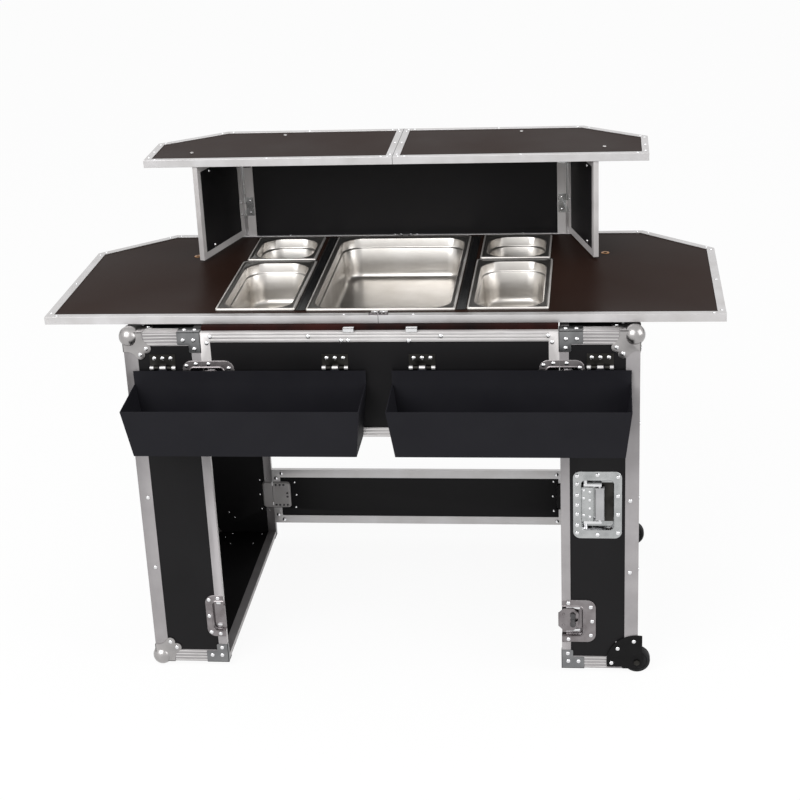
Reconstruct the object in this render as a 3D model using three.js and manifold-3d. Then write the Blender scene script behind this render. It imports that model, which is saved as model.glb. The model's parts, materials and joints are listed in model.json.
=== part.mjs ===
import * as THREE from 'three';
import { mergeVertices } from 'three/addons/utils/BufferGeometryUtils.js';
import Module from 'manifold-3d';

// A folding portable bar in millimetres, +Z up, with the bartender's side towards -Y.
// Two open half cases stand as its legs. An apron in front and a stretcher behind latch between them.
// A counter in two halves lies on top, with five food pans, a folding riser and an upper shelf.

const wasm = await Module();
wasm.setup();

// Half cases that stand as legs
const legWidth = 170;
const legDepth = 660;
const legHeight = 814;
const kneeWidth = 772;
const floorGap = 12;
const plyThickness = 9;
const edgingThickness = 1.5;
const edgingFlange = 30;
const rimFlange = 20;

// Ball feet under the left leg
const ballRadius = 19;
const ballFlangeLength = 44;
const ballFlangeThickness = 1.5;

// Corner wheels under the right leg
const wheelRadius = 30;
const wheelWidth = 22;
const wheelTreadRound = 5;
const wheelFaceGap = 3;
const wheelHubRadius = 11;
const wheelHubRecess = 3;
const axleRadius = 4;
const axleInset = 2;
const axlePlay = 0.4;
const bracketRadius = 68;
const bracketMargin = 12;
const bracketThickness = 3;
const housingGap = 4;
const housingWall = 2.5;
const wheelPadMargin = 14;

// Apron and rear stretcher
const braceThickness = 12;
const braceStrip = 22;
const apronHeight = 243;
const stretcherHeight = 154;
const stretcherRise = 38;

// Butterfly latches
const upperLatchDrop = 118;
const lowerLatchRise = 120;
const latchHeight = 106;
const latchCorner = 20;
const latchCornerSteps = 6;
const latchFlangeThickness = 1.2;
const latchTubLength = 46;
const latchTubHeight = 72;
const latchTubDepth = 13;
const catchTubLength = 26;
const latchWall = 1.2;
const latchFitGap = 0.4;
const catchReach = 43;
const apronLatchReach = 70;
const caseLatchReach = 76;
const upperCaseLatchReach = 54;
const keyOffset = 25;
const keyShaftRadius = 5;
const keyWingLength = 36;
const keyWingHeight = 13;
const keyWingThickness = 2.5;
const keyTopGap = 1.5;
const hookOverhang = 8;
const hookLength = 46;
const hookHeight = 56;
const hookThickness = 2.5;
const hookDepth = 6;
const hookLipDepth = 3.5;
const hookCornerCut = 12;
const hookTravel = 6;
const hookPlay = 0.4;

// Spring handle on the right leg
const handleHeight = 409;
const handleFlangeWidth = 106;
const handleFlangeHeight = 162;
const handleFlangeThickness = 1.2;
const handleTubWidth = 70;
const handleTubHeight = 118;
const handleTubDepth = 17;
const handleWall = 1.2;
const bailRadius = 4;
const bailSpan = 96;
const bailReach = 31;
const bailInset = 9;
const bailDepth = 8.5;
const gripWidth = 20;
const gripThickness = 13;
const gripLength = 78;
const gripPlay = 0.3;
const bailEndGap = 0.4;

// Counter
const counterWidth = 1470;
const counterDepth = 600;
const counterThickness = 17.5;
const counterRise = 9;
const counterChamferX = 162;
const counterChamferY = 144;
const counterFlange = 18;
const bearerMargin = 30;
const bearerEndMargin = 50;
const seamHingeWidth = 42;
const seamHingeLength = 14;
const seamHingeThickness = 1.5;
const seamHingeBarrel = 2.5;

// Food pans
const panDepth = 100;
const panRimHeight = 5;
const panRimGap = 0.3;
const panRimFlange = 13;
const panLipWidth = 4;
const panWall = 1.2;
const panCornerRadius = 28;
const panRimRadius = 5;
const panShoulder = 26;
const panShoulderStep = 4;
const panDraft = 5;
const panCutGap = 3;
const icePanWidth = 325;
const icePanLength = 530;
const frontPanWidth = 176;
const frontPanLength = 337;
const rearPanWidth = 163;
const rearPanLength = 178;
const panDivider = 24.5;
const panRowGap = 13;
const sidePanShift = 4;

// Riser
const riserHeight = 231;
const riserWidth = 778;
const riserThickness = 12;
const riserSetback = 1;
const riserEndStrip = 20;
const riserTopStrip = 8;
const sidePanelLength = 211;
const sidePanelSplay = 16.5;
const sidePanelStrip = 15;
const sidePanelFootGap = 0.6;
const sidePanelHeadGap = 1;
const sidePanelFitGap = 0.3;
const hingePinGap = 3;
const hingeBarrelRadius = 2.5;
const hingeLeafWidth = 18;
const hingeLeafThickness = 1.2;
const hingeLeafHeight = 46;
const lowerHingeRise = 52;
const upperHingeDrop = 12;
const hingePinRadius = 1.5;
const hingePinPlay = 0.3;
const hingeEndGap = 4;

// Upper shelf
const shelfWidth = 1162;
const shelfDepth = 268;
const shelfThickness = 17.5;
const shelfFrontSetback = 377;
const shelfChamferX = 149;
const shelfChamferY = 110;
const shelfFlange = 16;

// Bottle bins and their hinges
const binWidth = 510;
const binTaper = 13;
const binGap = 56;
const binHeight = 154;
const binWallHeight = 114;
const binBackWallHeight = 124;
const binBottomDepth = 110;
const binLipDepth = 137;
const binSheet = 2;
const binDrop = 86;
const binHingeSpan = 378;
const binHingeWidth = 57;
const binHingeLeafRise = 30;
const binKnuckleRadius = 4;
const binPinRadius = 2;
const binPinPlay = 0.4;
const binPinRise = 6;
const binPinStandoff = 3.5;
const binLugWidth = 18;
const binLugGap = 0.5;

// How far a cutting solid runs past the faces that it opens
const through = 5;
const roundSteps = 24;
const cornerSteps = 4;

// Places worked out from the sizes above
const kneeHalf = kneeWidth / 2;
const legHalf = legDepth / 2;
const legOuter = kneeHalf + legWidth;
const legBottom = floorGap;
const legTop = legBottom + legHeight;
const counterBottom = legTop + counterRise;
const counterTop = counterBottom + counterThickness;
const boardTop = counterTop - edgingThickness;
const shelfBottom = counterTop + riserHeight;
const shelfTop = shelfBottom + shelfThickness;
const shelfFront = shelfFrontSetback - counterDepth / 2;
const panRimTop = boardTop + panRimHeight;
const laminateFront = -legHalf + edgingThickness;
const binBack = -legHalf - binPinStandoff - edgingThickness;
const binTop = legTop - binDrop;
const binBottom = binTop - binHeight;
const frontReach = binBack - binLipDepth;
const rearReach = shelfFront + shelfDepth;

const bar = new THREE.Group();
bar.position.y = -(frontReach + rearReach) / 2;

const laminate = { color: 0x1c1a1b, roughness: 0.55, metalness: 0 };
const aluminium = { color: 0xc4c2c0, roughness: 0.35, metalness: 1 };
const stainless = { color: 0xcfcbc4, roughness: 0.22, metalness: 1 };
const zinc = { color: 0xb9bcc0, roughness: 0.3, metalness: 1 };
const powderCoat = { color: 0x232327, roughness: 0.7, metalness: 0.1 };
const blackPlastic = { color: 0x141415, roughness: 0.6, metalness: 0 };
const rubber = { color: 0x101011, roughness: 0.9, metalness: 0 };

// A closed solid from a geometry whose triangles share vertices by position only
function solidFrom(geometry) {
  const bare = geometry.clone();
  bare.deleteAttribute('normal');
  bare.deleteAttribute('uv');
  const merged = mergeVertices(bare, 1e-4);
  const index = merged.index.array;
  const triangles = [];
  for (let i = 0; i < index.length; i += 3) {
    const [a, b, c] = [index[i], index[i + 1], index[i + 2]];
    if (a !== b && b !== c && c !== a) triangles.push(a, b, c);
  }
  return new wasm.Manifold(new wasm.Mesh({
    numProp: 3,
    vertProperties: new Float32Array(merged.attributes.position.array),
    triVerts: new Uint32Array(triangles),
  }));
}

function join(first, ...others) {
  return others.reduce((sum, other) => sum.add(other), first);
}

function cut(first, ...others) {
  return others.reduce((rest, other) => rest.subtract(other), first);
}

function geometryOf(solid) {
  const mesh = solid.getMesh();
  const geometry = new THREE.BufferGeometry();
  geometry.setAttribute('position', new THREE.BufferAttribute(new Float32Array(mesh.vertProperties), 3));
  geometry.setIndex(new THREE.BufferAttribute(new Uint32Array(mesh.triVerts), 1));
  const faceted = geometry.toNonIndexed();
  faceted.computeVertexNormals();
  return faceted;
}

function place(name, solid, finish, parent = bar) {
  const mesh = new THREE.Mesh(geometryOf(solid), new THREE.MeshStandardMaterial(finish));
  mesh.name = name;
  parent.add(mesh);
  return mesh;
}

// A block between two corners, given in any order
function block(xa, xb, ya, yb, za, zb) {
  const geometry = new THREE.BoxGeometry(Math.abs(xb - xa), Math.abs(yb - ya), Math.abs(zb - za));
  geometry.translate((xa + xb) / 2, (ya + yb) / 2, (za + zb) / 2);
  return solidFrom(geometry);
}

// A prism standing on an outline in the XY plane
function prism(points, za, zb) {
  const geometry = new THREE.ExtrudeGeometry(new THREE.Shape(points), { depth: zb - za, bevelEnabled: false });
  geometry.translate(0, 0, za);
  return solidFrom(geometry);
}

// A plate cut from an outline in the XZ plane, between two depths
function facePlate(shape, ya, yb) {
  const geometry = new THREE.ExtrudeGeometry(shape, {
    depth: Math.abs(yb - ya),
    bevelEnabled: false,
    curveSegments: roundSteps / 2,
  });
  geometry.rotateX(Math.PI / 2);
  geometry.translate(0, Math.max(ya, yb), 0);
  return solidFrom(geometry);
}

function rodAlongX(radius, xa, xb, y, z) {
  const geometry = new THREE.CylinderGeometry(radius, radius, Math.abs(xb - xa), roundSteps / 2);
  geometry.rotateZ(Math.PI / 2);
  geometry.translate((xa + xb) / 2, y, z);
  return solidFrom(geometry);
}

function rodAlongY(radius, ya, yb, x, z, steps = roundSteps) {
  const geometry = new THREE.CylinderGeometry(radius, radius, Math.abs(yb - ya), steps);
  geometry.translate(x, (ya + yb) / 2, z);
  return solidFrom(geometry);
}

function rodAlongZ(radius, x, y, za, zb) {
  const geometry = new THREE.CylinderGeometry(radius, radius, Math.abs(zb - za), roundSteps / 2);
  geometry.rotateX(Math.PI / 2);
  geometry.translate(x, y, (za + zb) / 2);
  return solidFrom(geometry);
}

// A skin over rings of points, each ring with as many points, closed by a fan at either end
function loft(rings) {
  const count = rings[0].length;
  const positions = [];
  const triangles = [];
  for (const ring of rings) for (const point of ring) positions.push(point.x, point.y, point.z);
  for (let r = 0; r + 1 < rings.length; r += 1) {
    for (let i = 0; i < count; i += 1) {
      const a = r * count + i;
      const b = r * count + (i + 1) % count;
      triangles.push(a, b, b + count, a, b + count, a + count);
    }
  }
  const last = (rings.length - 1) * count;
  for (let i = 1; i + 1 < count; i += 1) {
    triangles.push(0, i + 1, i);
    triangles.push(last, last + i, last + i + 1);
  }
  const geometry = new THREE.BufferGeometry();
  geometry.setAttribute('position', new THREE.BufferAttribute(new Float32Array(positions), 3));
  geometry.setIndex(triangles);
  return solidFrom(geometry);
}

// An outline drawn in by the same distance along every side
function inset(points, distance) {
  const count = points.length;
  return points.map((point, i) => {
    const before = points[(i + count - 1) % count];
    const after = points[(i + 1) % count];
    const inward = (from, to) => new THREE.Vector2(from.y - to.y, to.x - from.x).normalize();
    const first = inward(before, point);
    const second = inward(point, after);
    const share = distance / (1 + first.dot(second));
    return point.clone().addScaledVector(first, share).addScaledVector(second, share);
  });
}

// Latches. Every latch closes a seam between two pieces, with its working half on the seam's +X side.
const latches = [
  { name: 'apron_left_latch', seam: -kneeHalf, z: legTop - upperLatchDrop, inward: 1, reach: apronLatchReach },
  { name: 'apron_right_latch', seam: kneeHalf, z: legTop - upperLatchDrop, inward: 1, reach: upperCaseLatchReach },
  { name: 'case_front_latch', seam: kneeHalf, z: legBottom + lowerLatchRise, inward: 1, reach: caseLatchReach },
  { name: 'stretcher_left_latch', seam: -kneeHalf, z: legBottom + lowerLatchRise, inward: -1,
    reach: apronLatchReach },
  { name: 'stretcher_right_latch', seam: kneeHalf, z: legBottom + lowerLatchRise, inward: -1,
    reach: caseLatchReach },
];

// The left case's lower front catch has no working half opposite it while the case stands as a leg
const caseCatch = { seam: -kneeHalf, z: legBottom + lowerLatchRise, inward: 1 };

function latchOpening({ seam, z, inward }, towards, length) {
  const face = -inward * legHalf;
  const half = latchTubHeight / 2 + latchWall + latchFitGap;
  const reach = length + latchWall + latchFitGap;
  const depth = braceThickness + through;
  return block(seam, seam + towards * reach, face - inward * through, face + inward * depth, z - half, z + half);
}

const latchOpenings = join(
  ...latches.map((latch) => latchOpening(latch, 1, latchTubLength)),
  ...[...latches, caseCatch].map((latch) => latchOpening(latch, -1, catchTubLength)),
);

// A latch half's outline on the case's face: square at the seam, with round outer corners
function latchOutline(start, end, z) {
  const half = latchHeight / 2;
  const way = Math.sign(end - start);
  const points = [[start, -half]];
  for (const [side, from] of [[-1, -Math.PI / 2], [1, 0]]) {
    for (let i = 0; i <= latchCornerSteps; i += 1) {
      const angle = from + (Math.PI / 2) * (i / latchCornerSteps);
      points.push([
        end + way * latchCorner * (Math.cos(angle) - 1),
        side * (half - latchCorner) + latchCorner * Math.sin(angle),
      ]);
    }
  }
  points.push([start, half]);
  return new THREE.Shape(points.map(([x, height]) => new THREE.Vector2(x, z + height)));
}

// A pad of edging that runs round the opening, under the latch's flange
function latchPad({ seam, z, inward }, towards, length) {
  const face = -inward * legHalf;
  return facePlate(latchOutline(seam, seam + towards * length, z), face, face + inward * edgingThickness);
}

function latchDish({ seam, z, inward, reach }) {
  const face = -inward * legHalf;
  const tubHalf = latchTubHeight / 2;
  const start = seam + latchFitGap;
  const floor = face + inward * latchTubDepth;
  const flange = facePlate(latchOutline(start, seam + reach, z), face - inward * latchFlangeThickness, face);
  const tub = block(start, seam + latchTubLength + latchWall, face - inward * latchFlangeThickness,
    floor + inward * latchWall, z - tubHalf - latchWall, z + tubHalf + latchWall);
  const hollow = block(seam - through, seam + latchTubLength, face - inward * through, floor,
    z - tubHalf, z + tubHalf);
  return cut(join(flange, tub), hollow);
}

// The butterfly key: a round shaft that stands on the dish floor, under a flat pair of wings
function latchKey({ seam, z, inward }) {
  const face = -inward * legHalf;
  const x = seam + keyOffset;
  const floor = face + inward * (latchTubDepth - latchFitGap);
  const wingTop = face + inward * keyTopGap;
  const wingBottom = wingTop + inward * keyWingThickness;
  const shaft = rodAlongY(keyShaftRadius, floor, wingTop, x, z, roundSteps / 2);
  const wings = block(x - keyWingHeight / 2, x + keyWingHeight / 2, wingTop, wingBottom,
    z - keyWingLength / 2, z + keyWingLength / 2);
  return join(shaft, wings);
}

// The hook plate: an octagonal plate with a lip at its outer end and a slot round the key's shaft
function latchHook({ seam, z, inward }) {
  const face = -inward * legHalf;
  const tip = seam - hookOverhang;
  const heel = tip + hookLength;
  const half = hookHeight / 2;
  const top = face + inward * hookDepth;
  const bottom = top + inward * hookThickness;
  const outline = [
    [tip, half - hookCornerCut], [tip, hookCornerCut - half], [tip + hookCornerCut, -half],
    [heel - hookCornerCut, -half], [heel, hookCornerCut - half], [heel, half - hookCornerCut],
    [heel - hookCornerCut, half], [tip + hookCornerCut, half],
  ].map(([x, height]) => new THREE.Vector2(x, z + height));
  const plate = facePlate(new THREE.Shape(outline), top, bottom);
  const lip = block(tip, tip + hookThickness, top, bottom + inward * hookLipDepth,
    z + hookCornerCut - half, z + half - hookCornerCut);
  const slotRadius = keyShaftRadius + hookPlay;
  const slotStart = seam + keyOffset;
  const slot = join(
    rodAlongY(slotRadius, top - inward * through, bottom + inward * through, slotStart, z, roundSteps / 2),
    rodAlongY(slotRadius, top - inward * through, bottom + inward * through, slotStart + hookTravel, z,
      roundSteps / 2),
    block(slotStart, slotStart + hookTravel, top - inward * through, bottom + inward * through,
      z - slotRadius, z + slotRadius),
  );
  return cut(join(plate, lip), slot);
}

for (const latch of latches) {
  place(`${latch.name}_dish`, latchDish(latch), zinc);
  place(`${latch.name}_key`, latchKey(latch), zinc);
  place(`${latch.name}_hook`, latchHook(latch), zinc);
}

// Corner wheels. The wheel runs in a cup in the case's corner, behind a fan-shaped plate on its face.
const axleX = legOuter - axleInset;
const axleZ = wheelRadius;
const housingInner = wheelRadius + housingGap;
const housingOuter = housingInner + housingWall;
const housingDepth = wheelWidth + 2 * wheelFaceGap;
const cheekDepth = housingDepth + housingWall;

function wheelOpening(inward) {
  const face = -inward * legHalf;
  return rodAlongY(housingOuter + latchFitGap, face - inward * through, face + inward * (cheekDepth + latchFitGap),
    axleX, axleZ);
}

function wheelBracket(inward) {
  const face = -inward * legHalf;
  const startAngle = Math.acos(bracketMargin / bracketRadius);
  const endAngle = Math.PI + Math.asin(bracketMargin / bracketRadius);
  const fan = new THREE.Shape();
  fan.moveTo(axleX + bracketMargin, axleZ - bracketMargin);
  fan.lineTo(axleX + bracketMargin, axleZ + bracketRadius * Math.sin(startAngle));
  fan.absarc(axleX, axleZ, bracketRadius, startAngle, endAngle, false);
  const plate = facePlate(fan, face - inward * bracketThickness, face);
  const axleStart = face - inward * bracketThickness / 2;
  const axle = rodAlongY(axleRadius, axleStart, face + inward * cheekDepth, axleX, axleZ, roundSteps / 2);
  const cup = cut(
    rodAlongY(housingOuter, axleStart, face + inward * cheekDepth, axleX, axleZ),
    rodAlongY(housingInner, face, face + inward * housingDepth, axleX, axleZ),
  );
  const corner = block(axleX - bracketRadius, legOuter, -legHalf - through, legHalf + through, legBottom,
    axleZ + bracketRadius);
  return join(plate, cup.intersect(corner), axle);
}

function wheel(inward) {
  const outer = wheelRadius;
  const half = wheelWidth / 2;
  const bore = axleRadius + axlePlay;
  const hubHalf = half - wheelHubRecess;
  const round = wheelTreadRound;
  const bevel = round * (1 - Math.SQRT1_2);
  const profile = [
    [bore, -half], [wheelHubRadius, -half], [wheelHubRadius + wheelHubRecess, -hubHalf],
    [outer - round - wheelHubRecess, -hubHalf], [outer - round, -half], [outer - bevel, bevel - half],
    [outer, round - half], [outer, half - round], [outer - bevel, half - bevel], [outer - round, half],
    [outer - round - wheelHubRecess, hubHalf], [wheelHubRadius + wheelHubRecess, hubHalf],
    [wheelHubRadius, half], [bore, half], [bore, -half],
  ].map(([radius, along]) => new THREE.Vector2(radius, along));
  const geometry = new THREE.LatheGeometry(profile, roundSteps);
  geometry.translate(axleX, -inward * legHalf + inward * (wheelFaceGap + half), axleZ);
  return solidFrom(geometry);
}

for (const [end, inward] of [['front', 1], ['rear', -1]]) {
  place(`${end}_wheel_bracket`, wheelBracket(inward), blackPlastic);
  place(`${end}_wheel`, wheel(inward), rubber);
}

// Spring handle on the right leg's front panel
const handleX = kneeHalf + rimFlange + (legWidth - rimFlange - edgingFlange) / 2;
const handleZ = legBottom + handleHeight;
const bailX = handleX - handleTubWidth / 2 + bailInset;
const bailY = laminateFront + bailDepth;

const handleOpening = block(
  handleX - handleTubWidth / 2 - handleWall - latchFitGap, handleX + handleTubWidth / 2 + handleWall + latchFitGap,
  laminateFront - through, laminateFront + plyThickness + through,
  handleZ - handleTubHeight / 2 - handleWall - latchFitGap, handleZ + handleTubHeight / 2 + handleWall + latchFitGap,
);

function handleDish() {
  const front = laminateFront - handleFlangeThickness;
  const halfWidth = handleTubWidth / 2;
  const halfHeight = handleTubHeight / 2;
  const floor = laminateFront + handleTubDepth;
  const flange = block(handleX - handleFlangeWidth / 2, handleX + handleFlangeWidth / 2, front, laminateFront,
    handleZ - handleFlangeHeight / 2, handleZ + handleFlangeHeight / 2);
  const tub = block(handleX - halfWidth - handleWall, handleX + halfWidth + handleWall, front, floor + handleWall,
    handleZ - halfHeight - handleWall, handleZ + halfHeight + handleWall);
  const hollow = block(handleX - halfWidth, handleX + halfWidth, front - through, floor,
    handleZ - halfHeight, handleZ + halfHeight);
  return cut(join(flange, tub), hollow);
}

// The bail: a pivot rod in two stubs, two arms and the bar that the grip slides on
function handleBail() {
  const half = bailSpan / 2;
  const stubEnd = handleTubHeight / 2 - bailEndGap;
  const barX = bailX + bailReach;
  const armThickness = bailRadius * 1.5;
  const arm = (side) => block(bailX - bailRadius, barX + bailRadius, bailY - bailRadius, bailY + bailRadius,
    handleZ + side * half, handleZ + side * (half - armThickness));
  const stub = (side) => rodAlongZ(bailRadius, bailX, bailY, handleZ + side * (half - armThickness / 2),
    handleZ + side * stubEnd);
  const bar = rodAlongZ(bailRadius, barX, bailY, handleZ - half + armThickness / 2, handleZ + half - armThickness / 2);
  return join(bar, arm(1), arm(-1), stub(1), stub(-1));
}

// The grip: a flat-faced sleeve with round edges
function handleGrip() {
  const barX = bailX + bailReach;
  const half = gripLength / 2;
  const edge = gripThickness / 2;
  const flat = gripWidth / 2 - edge;
  const slab = block(barX - flat, barX + flat, bailY - edge, bailY + edge, handleZ - half, handleZ + half);
  const side = (way) => rodAlongZ(edge, barX + way * flat, bailY, handleZ - half, handleZ + half);
  const bore = rodAlongZ(bailRadius + gripPlay, barX, bailY, handleZ - half - through, handleZ + half + through);
  return cut(join(slab, side(-1), side(1)), bore);
}

place('handle_dish', handleDish(), zinc);
place('handle_bail', handleBail(), zinc);
place('handle_grip', handleGrip(), rubber);

// Legs: a tray of laminated plywood, open towards the knee space, inside aluminium edging
function legTray(side) {
  const outer = side * (legOuter - edgingThickness);
  const inner = side * (kneeHalf + edgingThickness);
  const half = legHalf - edgingThickness;
  const low = legBottom + edgingThickness;
  const high = legTop - edgingThickness;
  const shell = block(outer, inner, -half, half, low, high);
  const hollow = block(outer - side * plyThickness, inner - side * through, plyThickness - half,
    half - plyThickness, low + plyThickness, high - plyThickness);
  return cut(shell, hollow, latchOpenings);
}

// The rim wraps the boards' edges round the opening, with a flange on either face
function legRim(side) {
  const inner = side * kneeHalf;
  const tube = (start, end, wall) => block(start, end, wall - legHalf, legHalf - wall, legBottom + wall, legTop - wall);
  const skin = edgingThickness;
  const end = inner + side * rimFlange;
  const groove = cut(
    tube(inner + side * skin, end + side * through, skin),
    tube(inner, end + 2 * side * through, skin + plyThickness),
  );
  return cut(tube(inner, end, 0), tube(inner - side * through, end + side * through, plyThickness + 2 * skin), groove);
}

function legEdging(side) {
  const outer = side * legOuter;
  const inner = side * kneeHalf;
  const skin = edgingThickness;
  const shell = block(outer, inner, -legHalf, legHalf, legBottom, legTop);
  const core = block(outer - side * skin, inner - side * through, skin - legHalf, legHalf - skin,
    legBottom + skin, legTop - skin);
  const windowOuter = outer - side * edgingFlange;
  const windowInner = inner + side * rimFlange;
  const windowEnd = legHalf - edgingFlange;
  const windowLow = legBottom + edgingFlange;
  const windowHigh = legTop - edgingFlange;
  const faceWindow = block(windowOuter, windowInner, -legHalf - through, legHalf + through, windowLow, windowHigh);
  const topWindow = block(windowOuter, windowInner, -windowEnd, windowEnd, legBottom - through, legTop + through);
  const sideWindow = block(windowOuter, outer + side * through, -windowEnd, windowEnd, windowLow, windowHigh);
  const pads = [...latches, caseCatch]
    .filter(({ seam }) => seam === inner)
    .map((latch) => latchPad(latch, side, side > 0 ? latch.reach : catchReach));
  const angles = cut(shell, core, faceWindow, topWindow, sideWindow);
  return cut(join(angles, legRim(side), ...pads), latchOpenings);
}

const wheelOpenings = join(wheelOpening(1), wheelOpening(-1));

// The right leg's edging runs on round the wheel cups, so that its lower outer angle stays joined to it
function wheelPad(inward) {
  const face = -inward * legHalf;
  const size = housingOuter + wheelPadMargin;
  const skin = edgingThickness;
  const corner = block(legOuter - size, legOuter, face, face + inward * size, legBottom, axleZ + size);
  const core = block(kneeHalf, legOuter - skin, face + inward * skin, face + inward * legDepth,
    legBottom + skin, legTop);
  return cut(corner, core);
}

place('left_leg_tray', legTray(-1), laminate);
place('left_leg_edging', legEdging(-1), aluminium);
place('right_leg_tray', cut(legTray(1), wheelOpenings, handleOpening), laminate);
place('right_leg_edging', cut(join(legEdging(1), wheelPad(1), wheelPad(-1)), wheelOpenings), aluminium);

// Ball feet on the left leg's lower outer corners: a ball on a three-sided flange
function ballFoot(inward) {
  const ballInset = ballRadius - floorGap;
  const x = -legOuter + ballInset;
  const y = -inward * (legHalf - ballInset);
  const geometry = new THREE.SphereGeometry(ballRadius, roundSteps * 0.75, roundSteps / 2);
  geometry.rotateX(Math.PI / 2);
  geometry.translate(x, y, legBottom + ballInset);
  const grow = ballFlangeThickness;
  const flange = block(-legOuter - grow, -legOuter + ballFlangeLength, -inward * (legHalf + grow),
    -inward * (legHalf - ballFlangeLength), legBottom - grow, legBottom + ballFlangeLength);
  const corner = block(-legOuter, 0, -legHalf, legHalf, legBottom, legTop);
  return cut(join(solidFrom(geometry), flange), corner);
}

place('left_front_ball_foot', ballFoot(1), zinc);
place('left_rear_ball_foot', ballFoot(-1), zinc);

// Apron and stretcher: a laminated panel in a channel frame, between the legs
function bracePanel(inward, low, high) {
  const face = -inward * (legHalf - edgingThickness);
  const back = -inward * (legHalf - braceThickness + edgingThickness);
  const half = kneeHalf - edgingThickness;
  return cut(block(-half, half, face, back, low + edgingThickness, high - edgingThickness), latchOpenings);
}

function braceFrame(inward, low, high) {
  const face = -inward * legHalf;
  const back = face + inward * braceThickness;
  const skin = edgingThickness;
  const frame = cut(
    block(-kneeHalf, kneeHalf, face, back, low, high),
    block(skin - kneeHalf, kneeHalf - skin, face + inward * skin, back - inward * skin, low + skin, high - skin),
    block(braceStrip - kneeHalf, kneeHalf - braceStrip, face - inward * through, back + inward * through,
      low + braceStrip, high - braceStrip),
  );
  const pads = latches
    .filter((latch) => latch.inward === inward && latch.z > low && latch.z < high)
    .map((latch) => latchPad(latch, -Math.sign(latch.seam), latch.seam > 0 ? catchReach : latch.reach));
  return cut(join(frame, ...pads), latchOpenings);
}

const apronBottom = legTop - apronHeight;
const stretcherBottom = legBottom + stretcherRise;
const stretcherTop = stretcherBottom + stretcherHeight;
place('apron_panel', bracePanel(1, apronBottom, legTop), laminate);
place('apron_frame', braceFrame(1, apronBottom, legTop), aluminium);
place('stretcher_panel', bracePanel(-1, stretcherBottom, stretcherTop), laminate);
place('stretcher_frame', braceFrame(-1, stretcherBottom, stretcherTop), aluminium);

// Food pans, each named by its rim's middle and outer size
const sidePanFront = -icePanLength / 2 + sidePanShift;
const sidePanX = icePanWidth / 2 + panDivider + frontPanWidth / 2;
const frontPanY = sidePanFront + frontPanLength / 2;
const rearPanY = sidePanFront + frontPanLength + panRowGap + rearPanLength / 2;
const pans = [
  { name: 'ice_pan', x: 0, y: 0, width: icePanWidth, length: icePanLength },
  { name: 'left_front_pan', x: -sidePanX, y: frontPanY, width: frontPanWidth, length: frontPanLength },
  { name: 'right_front_pan', x: sidePanX, y: frontPanY, width: frontPanWidth, length: frontPanLength },
  { name: 'left_rear_pan', x: -sidePanX, y: rearPanY, width: rearPanWidth, length: rearPanLength },
  { name: 'right_rear_pan', x: sidePanX, y: rearPanY, width: rearPanWidth, length: rearPanLength },
];

// A ring of points round a rectangle with round corners
function roundedRing({ x, y, width, length }, shrink, radius, z) {
  const halfX = width / 2 - shrink - radius;
  const halfY = length / 2 - shrink - radius;
  const corners = [[1, 1], [-1, 1], [-1, -1], [1, -1]];
  return corners.flatMap(([sx, sy], quarter) => {
    const steps = Array.from({ length: cornerSteps + 1 }, (_, i) => (quarter + i / cornerSteps) * Math.PI / 2);
    return steps.map((angle) => new THREE.Vector3(
      x + sx * halfX + radius * Math.cos(angle), y + sy * halfY + radius * Math.sin(angle), z));
  });
}

function pan(size) {
  const lipBottom = boardTop + panRimGap;
  const rimUnder = panRimTop - panWall;
  const shoulder = panRimTop - panShoulder;
  const floor = panRimTop - panDepth;
  const ledge = panRimFlange + panShoulderStep;
  const inner = panCornerRadius;
  const outer = panCornerRadius + panWall;
  return loft([
    roundedRing(size, ledge + panDraft - panWall, outer, floor - panWall),
    roundedRing(size, ledge - panWall, outer, shoulder - panWall),
    roundedRing(size, panRimFlange - panWall, outer, shoulder - panWall),
    roundedRing(size, panRimFlange - panWall, outer, rimUnder),
    roundedRing(size, panLipWidth, panRimRadius, rimUnder),
    roundedRing(size, panLipWidth, panRimRadius, lipBottom),
    roundedRing(size, 0, panRimRadius, lipBottom),
    roundedRing(size, 0, panRimRadius, panRimTop),
    roundedRing(size, panRimFlange, inner, panRimTop),
    roundedRing(size, panRimFlange, inner, shoulder),
    roundedRing(size, ledge, inner, shoulder),
    roundedRing(size, ledge + panDraft, inner, floor),
  ]);
}

for (const size of pans) place(size.name, pan(size), stainless);

function panOpening({ x, y, width, length }, shrink) {
  const halfX = width / 2 - shrink;
  const halfY = length / 2 - shrink;
  return block(x - halfX, x + halfX, y - halfY, y + halfY, legTop - through, counterTop + through);
}

const panOpenings = join(...pans.map((size) => panOpening(size, panRimFlange - panWall - panCutGap)));
const rimOpenings = join(...pans.map((size) => panOpening(size, -panCutGap / 2)));

// Half of a table top that meets its other half at x = 0, with its rear outer corner cut off
function halfOutline(side, { width, front, back, chamferX, chamferY }) {
  const half = width / 2;
  const points = [
    [0, front], [half, front], [half, back - chamferY], [half - chamferX, back], [0, back],
  ].map(([x, y]) => new THREE.Vector2(side * x, y));
  return side > 0 ? points : points.reverse();
}

function topBoard(outline, low, high) {
  return prism(inset(outline, edgingThickness), low, high - edgingThickness);
}

function topEdging(outline, low, high, flange) {
  return cut(
    prism(outline, low, high),
    prism(inset(outline, edgingThickness), low - through, high - edgingThickness),
    prism(inset(outline, flange), low, high + through),
  );
}

const counterSize = {
  width: counterWidth,
  front: -counterDepth / 2,
  back: counterDepth / 2,
  chamferX: counterChamferX,
  chamferY: counterChamferY,
};
const shelfSize = {
  width: shelfWidth,
  front: shelfFront,
  back: rearReach,
  chamferX: shelfChamferX,
  chamferY: shelfChamferY,
};

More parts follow.
